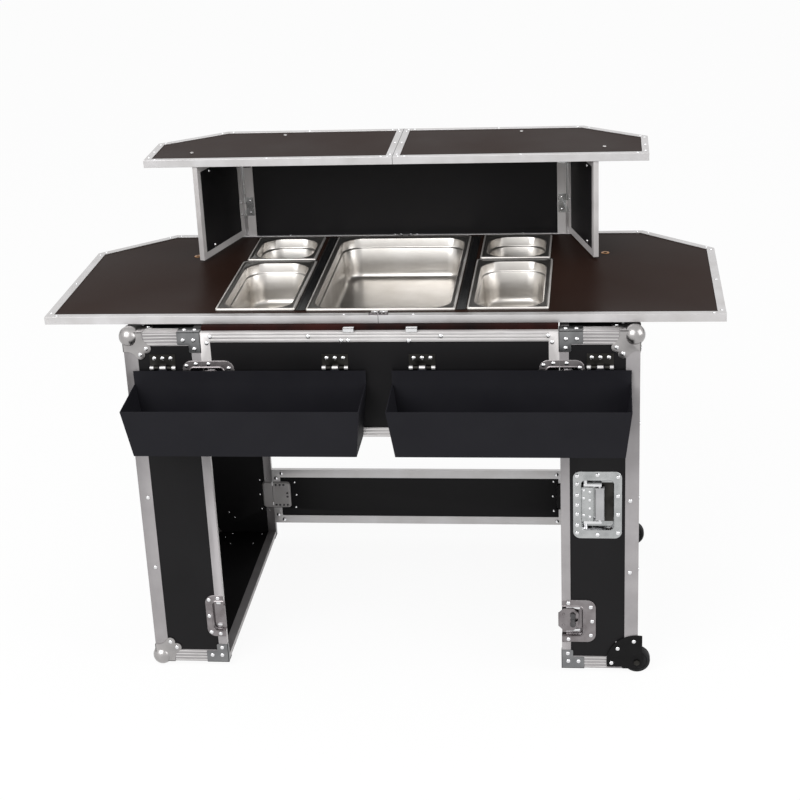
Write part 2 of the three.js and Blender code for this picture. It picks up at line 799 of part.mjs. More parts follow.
// The bearer under each counter half stands on the top of its leg
function counterBoard(side) {
  const outline = halfOutline(side, counterSize);
  const bearer = block(side * (kneeHalf + bearerMargin), side * (legOuter - bearerMargin),
    bearerEndMargin - counterDepth / 2, counterDepth / 2 - bearerEndMargin, legTop, counterBottom + through);
  return join(cut(topBoard(outline, counterBottom, counterTop), panOpenings), bearer);
}

for (const [name, side] of [['left', -1], ['right', 1]]) {
  const counterEdge = topEdging(halfOutline(side, counterSize), counterBottom, counterTop, counterFlange);
  place(`${name}_counter_board`, counterBoard(side), laminate);
  place(`${name}_counter_edging`, cut(counterEdge, rimOpenings), aluminium);
  const shelfOutline = halfOutline(side, shelfSize);
  place(`${name}_shelf_board`, topBoard(shelfOutline, shelfBottom, shelfTop), laminate);
  place(`${name}_shelf_edging`, topEdging(shelfOutline, shelfBottom, shelfTop, shelfFlange), aluminium);
}

// The butt hinge across the counter's seam, on its front edging
const seamHingeFront = -counterDepth / 2 + (counterFlange - seamHingeLength) / 2;
const seamHingeBack = seamHingeFront + seamHingeLength;
place('counter_seam_hinge', join(
  block(-seamHingeWidth / 2, seamHingeWidth / 2, seamHingeFront, seamHingeBack, counterTop,
    counterTop + seamHingeThickness),
  rodAlongY(seamHingeBarrel, seamHingeFront, seamHingeBack, 0, counterTop + seamHingeBarrel, roundSteps / 2),
), zinc);

// Riser: a back panel that stands on the counter's rear edge, and two side panels hinged to its ends
const riserHalf = riserWidth / 2;
const riserBack = counterDepth / 2 - riserSetback;
const riserFront = riserBack - riserThickness;
const hingeX = riserHalf + hingePinGap;
const hingeY = riserFront - hingePinGap;

function riserBackPanel() {
  const skin = edgingThickness;
  return block(skin - riserHalf, riserHalf - skin, riserFront + skin, riserBack - skin, counterTop, shelfBottom - skin);
}

function riserBackEdging() {
  const skin = edgingThickness;
  return cut(
    block(-riserHalf, riserHalf, riserFront, riserBack, counterTop, shelfBottom),
    block(skin - riserHalf, riserHalf - skin, riserFront + skin, riserBack - skin, counterTop - through,
      shelfBottom - skin),
    block(riserEndStrip - riserHalf, riserHalf - riserEndStrip, riserFront - through, riserBack + through,
      counterTop - through, shelfBottom - riserTopStrip),
  );
}

place('riser_back_panel', riserBackPanel(), laminate);
place('riser_back_edging', riserBackEdging(), aluminium);

// Each riser corner has two butt hinges on one long pin. The side panel's leaf carries the middle knuckle.
const lowerHinge = counterTop + lowerHingeRise;
const upperHinge = shelfBottom - upperHingeDrop - hingeLeafHeight;
const knuckleHeight = hingeLeafHeight / 3;

function riserHinge(side) {
  const x = side * hingeX;
  const clear = hingeBarrelRadius + hingePinPlay;
  const leaf = (low) => {
    const high = low + hingeLeafHeight;
    const web = hingeLeafThickness / 2;
    const whole = join(
      block(x + side * web, side * (riserHalf - hingeLeafWidth), riserFront - hingeLeafThickness, riserFront, low, high),
      block(x - web, x + web, hingeY, riserFront, low, high),
      rodAlongZ(hingeBarrelRadius, x, hingeY, low, high),
    );
    const notch = block(x - clear, x + clear, hingeY - clear, riserFront + through, low + knuckleHeight,
      high - knuckleHeight);
    return cut(whole, notch);
  };
  const pin = rodAlongZ(hingePinRadius, x, hingeY, lowerHinge - hingeEndGap,
    upperHinge + hingeLeafHeight + hingeEndGap);
  return join(leaf(lowerHinge), leaf(upperHinge), pin);
}

// The side panel's leaf, drawn from the pin
function wingLeaf(side, low, near) {
  const high = low + hingeLeafHeight;
  const face = side * (near - hingeLeafThickness);
  const rooted = side * (near + hingeLeafThickness / 2);
  const middleLow = low + knuckleHeight + hingePinPlay;
  const middleHigh = high - knuckleHeight - hingePinPlay;
  const whole = join(
    block(face, rooted, -near - hingeLeafWidth, -near, low, high),
    block(face, side * near, -near - hingeLeafThickness, hingePinRadius, middleLow, middleHigh),
    block(side * hingePinRadius, side * near, -hingePinRadius, hingePinRadius, middleLow, middleHigh),
    rodAlongZ(hingeBarrelRadius, 0, 0, middleLow, middleHigh),
  );
  return cut(whole, rodAlongZ(hingePinRadius + hingePinPlay, 0, 0, low - through, high + through));
}

// A side panel is drawn square to the back panel, from its hinge pin towards the front
function sidePanel(side) {
  const footZ = panRimTop + sidePanelFootGap;
  const headZ = shelfBottom - sidePanelHeadGap;
  const near = hingePinGap + sidePanelFootGap;
  const skin = edgingThickness;
  const spread = (grow, endGrow) => block(side * (near + grow), side * (near + riserThickness - grow),
    -near - sidePanelLength + endGrow, -near - endGrow, footZ + endGrow, headZ - endGrow);
  const board = spread(skin + sidePanelFitGap, skin + sidePanelFitGap);
  const rim = cut(spread(0, 0), spread(skin, skin), spread(-through, sidePanelStrip));
  return { board, rim: join(rim, wingLeaf(side, lowerHinge, near), wingLeaf(side, upperHinge, near)) };
}

for (const [name, side] of [['left', -1], ['right', 1]]) {
  place(`${name}_riser_hinge`, riserHinge(side), zinc);
  const wing = new THREE.Group();
  wing.position.set(side * hingeX, hingeY, 0);
  wing.rotation.z = side * THREE.MathUtils.degToRad(sidePanelSplay);
  const { board, rim } = sidePanel(side);
  place(`${name}_riser_panel`, board, laminate, wing);
  place(`${name}_riser_edging`, rim, aluminium, wing);
  bar.add(wing);
}

// Bottle bins: a sheet trough whose ends and front lean outwards, hung by lugs at the top of its back
const binPinY = -legHalf - binPinStandoff;
const binPinZ = binTop + binPinRise;

function binRing(middle, z, shrink, tilt) {
  const rise = (height) => (height - binBottom) / binWallHeight;
  const halfAt = (height) => binWidth / 2 - binTaper * (1 - Math.min(rise(height), 1)) - shrink;
  const frontAt = (height) => binBack - binBottomDepth - (binLipDepth - binBottomDepth) * rise(height) + shrink;
  const backZ = z + tilt;
  const back = binBack - shrink;
  return [
    new THREE.Vector3(middle - halfAt(z), frontAt(z), z),
    new THREE.Vector3(middle + halfAt(z), frontAt(z), z),
    new THREE.Vector3(middle + halfAt(backZ), back, backZ),
    new THREE.Vector3(middle - halfAt(backZ), back, backZ),
  ];
}

function bin(middle) {
  const lipZ = binBottom + binWallHeight;
  const tilt = binBackWallHeight - binWallHeight;
  const trough = cut(
    loft([binRing(middle, binBottom, 0, 0), binRing(middle, lipZ, 0, tilt)]),
    loft([binRing(middle, binBottom + binSheet, binSheet, 0), binRing(middle, lipZ, binSheet, tilt),
      binRing(middle, lipZ + through, binSheet, tilt)]),
  );
  const flap = block(middle - binWidth / 2, middle + binWidth / 2, binBack - binSheet, binBack,
    lipZ + tilt - binSheet, binTop);
  const lug = (x) => cut(
    join(
      rodAlongX(binKnuckleRadius, x - binLugWidth / 2, x + binLugWidth / 2, binPinY, binPinZ),
      block(x - binLugWidth / 2, x + binLugWidth / 2, binPinY - binKnuckleRadius, binBack, binTop - binSheet, binPinZ),
    ),
    rodAlongX(binPinRadius + binPinPlay, x - binLugWidth, x + binLugWidth, binPinY, binPinZ),
  );
  return join(trough, flap, lug(middle - binHingeSpan / 2), lug(middle + binHingeSpan / 2));
}

// The fixed leaf, with a knuckle either side of the bin's lug and the pin through all three
function binHinge(x) {
  const half = binHingeWidth / 2;
  const lugHalf = binLugWidth / 2 + binLugGap;
  const leaf = block(x - half, x + half, -legHalf, laminateFront, binPinZ, binPinZ + binHingeLeafRise);
  const notch = block(x - lugHalf, x + lugHalf, -legHalf - through, laminateFront + through, binPinZ - through,
    binPinZ + binKnuckleRadius + binLugGap);
  const knuckle = (side) => rodAlongX(binKnuckleRadius, x + side * lugHalf, x + side * half, binPinY, binPinZ);
  const pin = rodAlongX(binPinRadius, x - half, x + half, binPinY, binPinZ);
  const behind = block(x - half, x + half, laminateFront, laminateFront + through, binPinZ - through, binPinZ + through);
  return cut(join(cut(leaf, notch), knuckle(1), knuckle(-1), pin), behind);
}

for (const [name, side] of [['left', -1], ['right', 1]]) {
  const middle = side * (binGap + binWidth) / 2;
  place(`${name}_bottle_bin`, bin(middle), powderCoat);
  place(`${name}_bin_outer_hinge`, binHinge(middle + side * binHingeSpan / 2), zinc);
  place(`${name}_bin_inner_hinge`, binHinge(middle - side * binHingeSpan / 2), zinc);
}

export default bar;
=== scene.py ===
import json
import math
import bmesh
import bpy
from mathutils import Matrix, Vector

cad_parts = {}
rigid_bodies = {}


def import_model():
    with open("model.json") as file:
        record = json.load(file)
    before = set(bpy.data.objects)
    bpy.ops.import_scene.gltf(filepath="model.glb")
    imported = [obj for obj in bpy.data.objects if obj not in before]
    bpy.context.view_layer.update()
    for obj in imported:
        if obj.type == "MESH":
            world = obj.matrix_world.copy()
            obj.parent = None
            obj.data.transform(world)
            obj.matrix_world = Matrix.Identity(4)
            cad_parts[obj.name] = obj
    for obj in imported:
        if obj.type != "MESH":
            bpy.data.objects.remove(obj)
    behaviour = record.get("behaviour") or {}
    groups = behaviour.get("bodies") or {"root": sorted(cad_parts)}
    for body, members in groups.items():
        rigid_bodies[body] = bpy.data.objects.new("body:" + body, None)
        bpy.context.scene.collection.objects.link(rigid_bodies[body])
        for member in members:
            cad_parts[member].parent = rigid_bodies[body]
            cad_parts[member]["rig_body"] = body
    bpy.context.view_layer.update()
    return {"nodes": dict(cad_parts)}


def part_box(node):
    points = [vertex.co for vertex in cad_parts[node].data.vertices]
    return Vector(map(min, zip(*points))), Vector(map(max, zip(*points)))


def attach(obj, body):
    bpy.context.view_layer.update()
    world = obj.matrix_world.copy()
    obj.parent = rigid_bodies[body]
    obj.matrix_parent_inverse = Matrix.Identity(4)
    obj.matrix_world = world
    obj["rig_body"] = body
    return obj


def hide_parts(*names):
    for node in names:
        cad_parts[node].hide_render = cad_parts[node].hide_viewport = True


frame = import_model()

# Shapes are drawn in millimetres in the frame's axes: x along the bar, -y towards the bartender, z up
millimetre = 0.001


def boxOf(node):
    low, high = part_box(node)
    return low / millimetre, high / millimetre


legLow, legHigh = boxOf("right_leg_edging")
knee, legOut = legLow.x, legHigh.x
front, rear = legLow.y, legHigh.y
legBottom, legTop = legLow.z, legHigh.z
legsMiddle = (front + rear) / 2
sides = (("left", -1), ("right", 1))
ends = (("front", front), ("rear", rear))

# Camera and studio
camera = {"place": (0.4753, -3.765, 2.1148), "yaw": -7.048, "pitch": -22.291, "roll": -2.655, "lens": 79.48,
          "farClip": 200}
studio = {
    "fill": 0.62,            # even light from all round
    "lamps": {"key_lamp": (150, 3.2, (-1.6, -3.2, 3.6)),     # power, size and place
              "side_lamp": (60, 2.6, (3.4, -1.2, 2.4))},
    "lampsAim": (0, 0, 0.6),
    "floorSize": 60, "floorColour": (0.94, 0.94, 0.94), "floorGlow": 0.93, "floorRough": 0.9,
}


def frameAt(origin, right, up, out):
    turned = Matrix((Vector(right), Vector(up), Vector(out))).transposed().to_4x4()
    return Matrix.Translation(Vector(origin)) @ turned


def addObject(name, data):
    item = bpy.data.objects.new(name, data)
    bpy.context.scene.collection.objects.link(item)
    return item


def makeCamera():
    data = bpy.data.cameras.new("camera")
    data.lens = camera["lens"]
    data.clip_end = camera["farClip"]
    yaw, pitch, roll = (math.radians(camera[key]) for key in ("yaw", "pitch", "roll"))
    look = Vector((math.sin(yaw) * math.cos(pitch), math.cos(yaw) * math.cos(pitch), math.sin(pitch)))
    level = look.cross(Vector((0, 0, 1))).normalized()
    upright = level.cross(look)
    right = math.cos(roll) * level + math.sin(roll) * upright
    up = math.cos(roll) * upright - math.sin(roll) * level
    eye = addObject("camera", data)
    eye.matrix_world = frameAt(camera["place"], right, up, -look)
    bpy.context.scene.camera = eye


def makeLamp(name, power, size, place):
    data = bpy.data.lights.new(name, "AREA")
    data.energy, data.size = power, size
    lamp = addObject(name, data)
    lamp.location = place
    lamp.rotation_euler = (Vector(studio["lampsAim"]) - Vector(place)).to_track_quat("-Z", "Y").to_euler()


def setInputs(tree, node, inputs):
    # each input gets a value, or a link from another node's output
    for socket, value in inputs.items():
        if isinstance(value, bpy.types.NodeSocket):
            tree.links.new(value, node.inputs[socket])
        else:
            node.inputs[socket].default_value = value


def addNode(tree, kind, inputs, **settings):
    node = tree.nodes.new("ShaderNode" + kind)
    for key, value in settings.items():
        setattr(node, key, value)
    setInputs(tree, node, inputs)
    return node


def seenDirectly(tree):
    # 1 for camera, glossy and transmission rays, 0 for the rays that light the object
    rays = addNode(tree, "LightPath", {}).outputs
    both = addNode(tree, "Math", {0: rays["Is Camera Ray"], 1: rays["Is Glossy Ray"]}, operation="MAXIMUM")
    every = addNode(tree, "Math", {0: both.outputs[0], 1: rays["Is Transmission Ray"]}, operation="MAXIMUM")
    return every.outputs[0]


def makeStudio():
    world = bpy.data.worlds.new("studio")
    bpy.context.scene.world = world
    world.use_nodes = True
    tree = world.node_tree
    fill = tree.nodes["Background"]
    setInputs(tree, fill, {"Color": (1, 1, 1, 1), "Strength": studio["fill"]})
    white = addNode(tree, "Background", {"Color": (1, 1, 1, 1), "Strength": 1})
    choose = addNode(tree, "MixShader", {"Fac": seenDirectly(tree), 1: fill.outputs[0], 2: white.outputs[0]})
    setInputs(tree, tree.nodes["World Output"], {"Surface": choose.outputs[0]})
    for name, values in studio["lamps"].items():
        makeLamp(name, *values)

    paper = bpy.data.materials.new("floor_paper")
    paper.use_nodes = True
    tree = paper.node_tree
    shader = tree.nodes["Principled BSDF"]
    setInputs(tree, shader, {"Base Color": (*studio["floorColour"], 1), "Roughness": studio["floorRough"],
                             "Specular IOR Level": 0})
    glow = addNode(tree, "Emission", {"Strength": 1})
    share = addNode(tree, "Math", {0: seenDirectly(tree), 1: studio["floorGlow"]}, operation="MULTIPLY")
    choose = addNode(tree, "MixShader", {"Fac": share.outputs[0], 1: shader.outputs[0], 2: glow.outputs[0]})
    setInputs(tree, tree.nodes["Material Output"], {"Surface": choose.outputs[0]})
    bm = bmesh.new()
    bmesh.ops.create_grid(bm, x_segments=4, y_segments=4, size=studio["floorSize"] / 2)
    mesh = bpy.data.meshes.new("floor")
    bm.to_mesh(mesh)
    bm.free()
    mesh.materials.append(paper)
    addObject("floor", mesh)
    bpy.context.scene.view_settings.view_transform = "Standard"


makeCamera()
makeStudio()
print("camera and studio set")

# Finishes: cloudy colour from dark to light, rough from low to high, bump as a strength and a depth
usualLook = {"metal": 0, "specular": 0.5, "grain": 600, "cloudStretch": (1, 1, 1), "grainStretch": (1, 1, 1),
             "cloudDetail": 5, "grainDetail": 3, "grainGloss": False, "noiseLow": 0.3, "noiseHigh": 0.7}
finishes = {
    "topLaminate": {"dark": (0.0165, 0.0083, 0.0061), "light": (0.0222, 0.0117, 0.0089),
                    "rough": (0.34, 0.46), "specular": 0.024, "clouds": 3.2, "grain": 900,
                    "bump": (0.1, 0.0004)},
    "panelLaminate": {"dark": (0.0048, 0.0045, 0.005), "light": (0.0075, 0.007, 0.0078),
                      "rough": (0.42, 0.55), "specular": 0.16, "clouds": 4, "grain": 900,
                      "bump": (0.1, 0.0004)},
    "edging": {"dark": (0.52, 0.505, 0.5), "light": (0.64, 0.63, 0.635), "rough": (0.36, 0.5), "metal": 0.7,
               "clouds": 14, "grain": 420, "bump": (0.08, 0.0003)},
    "post": {"dark": (0.28, 0.266, 0.27), "light": (0.35, 0.334, 0.339), "rough": (0.46, 0.6), "metal": 0.25,
             "clouds": 16, "grain": 520, "grainStretch": (1, 1, 0.05), "bump": (0.08, 0.0003)},
    "strip": {"dark": (0.5, 0.48, 0.475), "light": (0.6, 0.58, 0.575), "rough": (0.42, 0.56), "metal": 0.25,
              "clouds": 16, "grain": 420, "bump": (0.08, 0.0003)},
    "rib": {"dark": (0.56, 0.545, 0.54), "light": (0.68, 0.665, 0.66), "rough": (0.28, 0.4), "metal": 1,
            "clouds": 20, "grain": 500, "grainStretch": (0.05, 1, 1), "bump": (0.08, 0.0003)},
    "chrome": {"dark": (0.7, 0.7, 0.71), "light": (0.8, 0.8, 0.81), "rough": (0.1, 0.2), "metal": 1,
               "clouds": 60, "grain": 700, "bump": (0.04, 0.0002)},
    "latchPlate": {"dark": (0.19, 0.172, 0.176), "light": (0.29, 0.27, 0.275), "rough": (0.24, 0.38),
                   "metal": 1, "clouds": 46, "bump": (0.05, 0.0003)},
    "handleSteel": {"dark": (0.36, 0.37, 0.37), "light": (0.5, 0.51, 0.51), "rough": (0.2, 0.32), "metal": 1,
                    "clouds": 40, "bump": (0.04, 0.0003)},
    "bracePlate": {"dark": (0.17, 0.172, 0.176), "light": (0.245, 0.247, 0.25), "rough": (0.3, 0.46),
                   "metal": 1, "clouds": 40, "bump": (0.06, 0.0003)},
    "panSteel": {"dark": (0.47, 0.448, 0.42), "light": (0.58, 0.562, 0.54), "rough": (0.28, 0.36), "metal": 1,
                 "clouds": 12, "grain": 460, "grainStretch": (0.06, 1, 1), "grainGloss": True,
                 "bump": (0.01, 0.0002)},
    # rougher than the pan steel, which catches light, and brighter in colour as painted highlight
    "panBeadHighlight": {"dark": (0.62, 0.595, 0.565), "light": (0.74, 0.715, 0.685), "rough": (0.4, 0.5),
                "metal": 0.75, "clouds": 12, "grain": 460, "bump": (0.01, 0.0002)},
    "nickel": {"dark": (0.33, 0.318, 0.315), "light": (0.43, 0.415, 0.41), "rough": (0.26, 0.36), "metal": 1,
               "clouds": 30, "grain": 500, "bump": (0.02, 0.0002)},
    "binCoat": {"dark": (0.0092, 0.009, 0.0118), "light": (0.0122, 0.012, 0.015), "rough": (0.5, 0.62),
                "clouds": 9, "grain": 520, "bump": (0.16, 0.0005), "specular": 0.1},
    "keyDark": {"dark": (0.07, 0.068, 0.07), "light": (0.12, 0.117, 0.12), "rough": (0.28, 0.4), "metal": 1,
                "clouds": 50, "bump": (0.05, 0.0003)},
    "hingeDark": {"dark": (0.024, 0.023, 0.021), "light": (0.048, 0.046, 0.042), "rough": (0.3, 0.45),
                  "metal": 1, "clouds": 50, "bump": (0.06, 0.0003)},
    "tyre": {"dark": (0.006, 0.006, 0.0065), "light": (0.011, 0.011, 0.0115), "rough": (0.6, 0.8),
             "clouds": 40, "grain": 700, "bump": (0.2, 0.0004), "specular": 0.3},
    "wheelPlate": {"dark": (0.004, 0.0038, 0.004), "light": (0.007, 0.0068, 0.007), "rough": (0.45, 0.6),
                   "clouds": 30, "grain": 700, "bump": (0.12, 0.0004), "specular": 0.12},
    "gripSleeve": {"dark": (0.38, 0.38, 0.385), "light": (0.46, 0.46, 0.465), "rough": (0.42, 0.55),
                   "metal": 0.5, "clouds": 40, "grain": 700, "bump": (0.15, 0.0004), "specular": 0.4},
    # ply darkened to near black, with reddish clouds of its own colour: painted shade
    "plyInPaintedShade": {"dark": (0.004, 0.003, 0.003), "light": (0.034, 0.009, 0.0075), "rough": (0.7, 0.85),
               "clouds": 9, "cloudStretch": (1, 0.2, 1), "grain": 300, "grainStretch": (1, 0.1, 1),
               "bump": (0.3, 0.0006), "specular": 0.05},
    "dividerBar": {"dark": (0.004, 0.004, 0.0045), "light": (0.008, 0.008, 0.0085), "rough": (0.3, 0.42),
                   "clouds": 30, "grain": 500, "bump": (0.08, 0.0003), "specular": 0.4},
    "brass": {"dark": (0.3, 0.14, 0.05), "light": (0.45, 0.24, 0.1), "rough": (0.3, 0.45), "metal": 1,
              "clouds": 60, "grain": 500, "bump": (0.06, 0.0003)},
}


def noiseOf(tree, where, scale, detail, stretch):
    mapping = addNode(tree, "Mapping", {"Vector": where, "Scale": stretch})
    inputs = {"Vector": mapping.outputs["Vector"], "Scale": scale, "Detail": detail}
    return addNode(tree, "TexNoise", inputs).outputs["Fac"]


def makeFinish(name, changes):
    # cloudy colour, patchy gloss and a fine grain, all on Object coordinates
    look = {**usualLook, **changes}
    material = bpy.data.materials.new(name)
    material.use_nodes = True
    tree = material.node_tree
    where = addNode(tree, "TexCoord", {}).outputs["Object"]
    clouds = noiseOf(tree, where, look["clouds"], look["cloudDetail"], look["cloudStretch"])
    grain = noiseOf(tree, where, look["grain"], look["grainDetail"], look["grainStretch"])
    ramp = addNode(tree, "ValToRGB", {"Fac": clouds})
    first, last = ramp.color_ramp.elements
    first.position, last.position = look["noiseLow"], look["noiseHigh"]
    first.color, last.color = (*look["dark"], 1), (*look["light"], 1)
    smooth, dull = look["rough"]
    rough = addNode(tree, "MapRange", {
        "Value": grain if look["grainGloss"] else clouds, "From Min": look["noiseLow"],
        "From Max": look["noiseHigh"], "To Min": smooth, "To Max": dull})
    strength, depth = look["bump"]
    bump = addNode(tree, "Bump", {"Height": grain, "Strength": strength, "Distance": depth})
    setInputs(tree, tree.nodes["Principled BSDF"], {
        "Base Color": ramp.outputs["Color"], "Roughness": rough.outputs["Result"],
        "Normal": bump.outputs["Normal"], "Metallic": look["metal"], "Specular IOR Level": look["specular"]})
    return material


finish = {name: makeFinish(name, look) for name, look in finishes.items()}
print("finishes made:", len(finish))


# Modelling helpers
def edgesOf(verts):
    return list(dict.fromkeys(edge for vert in verts for edge in vert.link_edges))


def roundEdges(bm, edges, offset, segments=2):
    bmesh.ops.bevel(bm, geom=edges, offset=offset, affect="EDGES", segments=segments, profile=0.5,
                    material=-1, clamp_overlap=True)


def cutAt(bm, point, normal, **keep):
    bmesh.ops.bisect_plane(bm, geom=bm.verts[:] + bm.edges[:] + bm.faces[:], dist=0.0001, plane_co=point,
                           plane_no=normal, **keep)


def faceOut(bm):
    bmesh.ops.recalc_face_normals(bm, faces=bm.faces)


def blockIn(bm, low, high, rounding=0.0, segments=2):
    low, high = Vector(low), Vector(high)
    place = Matrix.Translation((low + high) / 2) @ Matrix.Diagonal((*(high - low), 1))
    verts = bmesh.ops.create_cube(bm, size=1, matrix=place)["verts"]
    if rounding:
        roundEdges(bm, edgesOf(verts), rounding, segments)


def arcOf(x, y, radius, start, end, steps=5):
    angles = [math.radians(start + (end - start) * i / steps) for i in range(steps + 1)]
    return [(x + radius * math.cos(angle), y + radius * math.sin(angle)) for angle in angles]


def curveOf(first, pull, last, steps=6):
    # points on a curve that leaves first and reaches last, drawn towards pull
    first, pull, last = Vector(first), Vector(pull), Vector(last)
    shares = [i / steps for i in range(steps + 1)]
    return [tuple((1 - t) ** 2 * first + 2 * t * (1 - t) * pull + t * t * last) for t in shares]


plateSink = 0.2     # how far plates and fittings reach into what carries them


def plateIn(bm, outline, low, high, rounding):
    # a flat plate on an outline, with its outer rim rounded
    face = bm.faces.new([bm.verts.new((x, y, low)) for x, y in outline])
    grown = bmesh.ops.extrude_face_region(bm, geom=[face])["geom"]
    top = [item for item in grown if isinstance(item, bmesh.types.BMVert)]
    bmesh.ops.translate(bm, vec=(0, 0, high - low), verts=top)
    faces = list({side for vert in top for side in vert.link_faces} | {face})
    bmesh.ops.recalc_face_normals(bm, faces=faces)
    roundEdges(bm, [item for item in grown if isinstance(item, bmesh.types.BMEdge)], rounding)


def ringsIn(bm, rings, segments=32):
    # a rounded rectangle drawn on from ring to ring: each is a width, a height, a corner radius and a z
    width, height, radius, z = rings[0]
    turn = Matrix.Rotation(math.pi / segments, 4, "Z")
    verts = bmesh.ops.create_circle(bm, cap_ends=False, segments=segments, radius=radius,
                                    matrix=turn)["verts"]
    for vert in verts:
        vert.co.x += math.copysign(width / 2 - radius, vert.co.x)
        vert.co.y += math.copysign(height / 2 - radius, vert.co.y)
        vert.co.z = z
    first = edges = edgesOf(verts)
    for before, after in zip(rings, rings[1:]):
        grown = bmesh.ops.extrude_edge_only(bm, edges=edges)["geom"]
        fresh = {item for item in grown if isinstance(item, bmesh.types.BMVert)}
        edges = [item for item in grown
                 if isinstance(item, bmesh.types.BMEdge) and fresh.issuperset(item.verts)]
        for vert in fresh:
            for axis in (0, 1):
                side = math.copysign(1, vert.co[axis])
                turned = (vert.co[axis] - side * (before[axis] / 2 - before[2])) / before[2]
                vert.co[axis] = side * (after[axis] / 2 - after[2]) + turned * after[2]
            vert.co.z = after[3]
    return first, edges


def pressedDish(bm, flange, window, sheet):
    # pressed sheet: under the tub, out to the flange, over its raised lip and down to the tub's floor
    (wide, tall, corner), (w, h, r) = flange, window
    t, wall, lip, bottom = sheet["thickness"], sheet["wall"], sheet["lip"], -sheet["depth"]
    lipTop = t + sheet["lipRise"]
    for loop in ringsIn(bm, [
            (w + 2 * wall - 6, h + 2 * wall - 6, r - 2, bottom - wall),
            (w + 2 * wall, h + 2 * wall, r + 1, bottom + 2), (w + 2 * wall, h + 2 * wall, r + 1, 0),
            (wide, tall, corner, 0), (wide, tall, corner, t - 0.4), (wide - 1, tall - 1, corner - 0.5, t),
            (w + 2 * lip + 3, h + 2 * lip + 3, r + lip + 1.5, t), (w + 2 * lip, h + 2 * lip, r + lip, lipTop),
            (w + lip, h + lip, r + lip / 2, lipTop), (w, h, r, t - 0.6), (w, h, r, bottom + 3),
            (w - 2, h - 2, r - 1, bottom + 0.8), (w - 6, h - 6, r - 3, bottom)]):
        bmesh.ops.edgeloop_fill(bm, edges=loop)
    faceOut(bm)


def spunIn(bm, profile, axis=(0, 0, 1), steps=24, across=(1, 0, 0), closed=False):
    # a turned shape: each profile point is a radius and a height along the axis
    verts = [bm.verts.new(Vector(across) * radius + Vector(axis) * height) for radius, height in profile]
    pairs = list(zip(verts, verts[1:]))
    if closed:
        pairs.append((verts[-1], verts[0]))
    edges = [bm.edges.new(pair) for pair in pairs]
    bmesh.ops.spin(bm, geom=verts + edges, cent=(0, 0, 0), axis=axis, angle=2 * math.pi, steps=steps,
                   use_merge=True)
    bmesh.ops.remove_doubles(bm, verts=bm.verts, dist=0.001)
    faceOut(bm)


def shapeOf(build, *values, **named):
    bm = bmesh.new()
    build(bm, *values, **named)
    mesh = bpy.data.meshes.new("shape")
    bm.to_mesh(mesh)
    bm.free()
    return mesh


def stamp(bm, shape, place):
    # a copy of a shape, turned inside out again where the place mirrors it
    copy = shape.copy()
    copy.transform(place)
    if place.determinant() < 0:
        copy.flip_normals()
    bm.from_mesh(copy)
    bpy.data.meshes.remove(copy)


def finishPiece(name, bm, look, body="bar", replaced=(), sharp=38):
    bmesh.ops.scale(bm, vec=(millimetre,) * 3, verts=bm.verts)
    mesh = bpy.data.meshes.new(name)
    bm.to_mesh(mesh)
    bm.free()
    mesh.materials.append(finish[look])
    mesh.shade_smooth()
    mesh.set_sharp_from_angle(angle=math.radians(sharp))
    piece = addObject(name, mesh)
    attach(piece, body)
    if replaced:
        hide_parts(*replaced)
    return piece


def stampPiece(name, look, stamps, body="bar", replaced=(), sharp=38):
    # one piece from copies of shapes, each with its place
    bm = bmesh.new()
    for shape, place in stamps:
        stamp(bm, shape, place)
    return finishPiece(name, bm, look, body, replaced, sharp)


soften = {"weld": 0.002, "flat": 1, "crease": 40}     # millimetres, then degrees


def softCopy(node, look, rounding, extra=(), sharp=20):
    # the construction's own shape with its hard edges broken, and small shapes added to it
    bm = bmesh.new()
    bm.from_mesh(frame["nodes"][node].data)
    bmesh.ops.scale(bm, vec=(1 / millimetre,) * 3, verts=bm.verts)
    bmesh.ops.remove_doubles(bm, verts=bm.verts, dist=soften["weld"])
    bmesh.ops.dissolve_limit(bm, angle_limit=math.radians(soften["flat"]), verts=bm.verts, edges=bm.edges)
    hard = math.radians(soften["crease"])
    creases = [edge for edge in bm.edges if edge.is_manifold and edge.calc_face_angle() > hard]
    roundEdges(bm, creases, rounding)
    for shape, place in extra:
        stamp(bm, shape, place)
    return finishPiece(node + "_formed", bm, look, frame["nodes"][node]["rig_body"], [node], sharp)


def paint(piece, looks, choose):
    # further finishes, and for each face the number of the one that it has
    for look in looks:
        piece.data.materials.append(finish[look])
    for polygon in piece.data.polygons:
        polygon.material_index = int(choose(polygon.center / millimetre, polygon.normal))


def along(start, end, count):
    return [start + (end - start) * i / (count - 1) for i in range(count)]


def faceAt(x, y, z, way):
    # a place on an outer face: local x and y lie in the face, z points out of it
    turns = {
        "front": ((1, 0, 0), (0, 0, 1), (0, -1, 0)),
        "rear": ((1, 0, 0), (0, 0, 1), (0, 1, 0)),
        "left": ((0, 1, 0), (0, 0, 1), (-1, 0, 0)),
        "right": ((0, 1, 0), (0, 0, 1), (1, 0, 0)),
        "top": ((1, 0, 0), (0, 1, 0), (0, 0, 1)),
        "bottom": ((1, 0, 0), (0, 1, 0), (0, 0, -1)),
    }
    return frameAt((x, y, z), *turns[way])


def shift(place, x, y, z=0.0):
    return place @ Matrix.Translation((x, y, z))


# Rivets and bolts
fastener = {"rivet": (5, 2.4), "small": (3.3, 1.6), "bolt": (4.4, 2.4), "sink": 0.4,     # radius and height
            "dome": ((1, 0.16), (0.82, 0.66), (0.45, 0.94), (0, 1))}     # shares of both


def domeOf(kind, steps):
    (radius, height), sink = fastener[kind], fastener["sink"]
    dome = [(radius * across, height * up) for across, up in fastener["dome"]]
    return shapeOf(spunIn, [(0, -sink), (radius, -sink)] + dome, steps=steps)


rivetShape, smallRivetShape, boltShape = domeOf("rivet", 10), domeOf("small", 8), domeOf("bolt", 16)

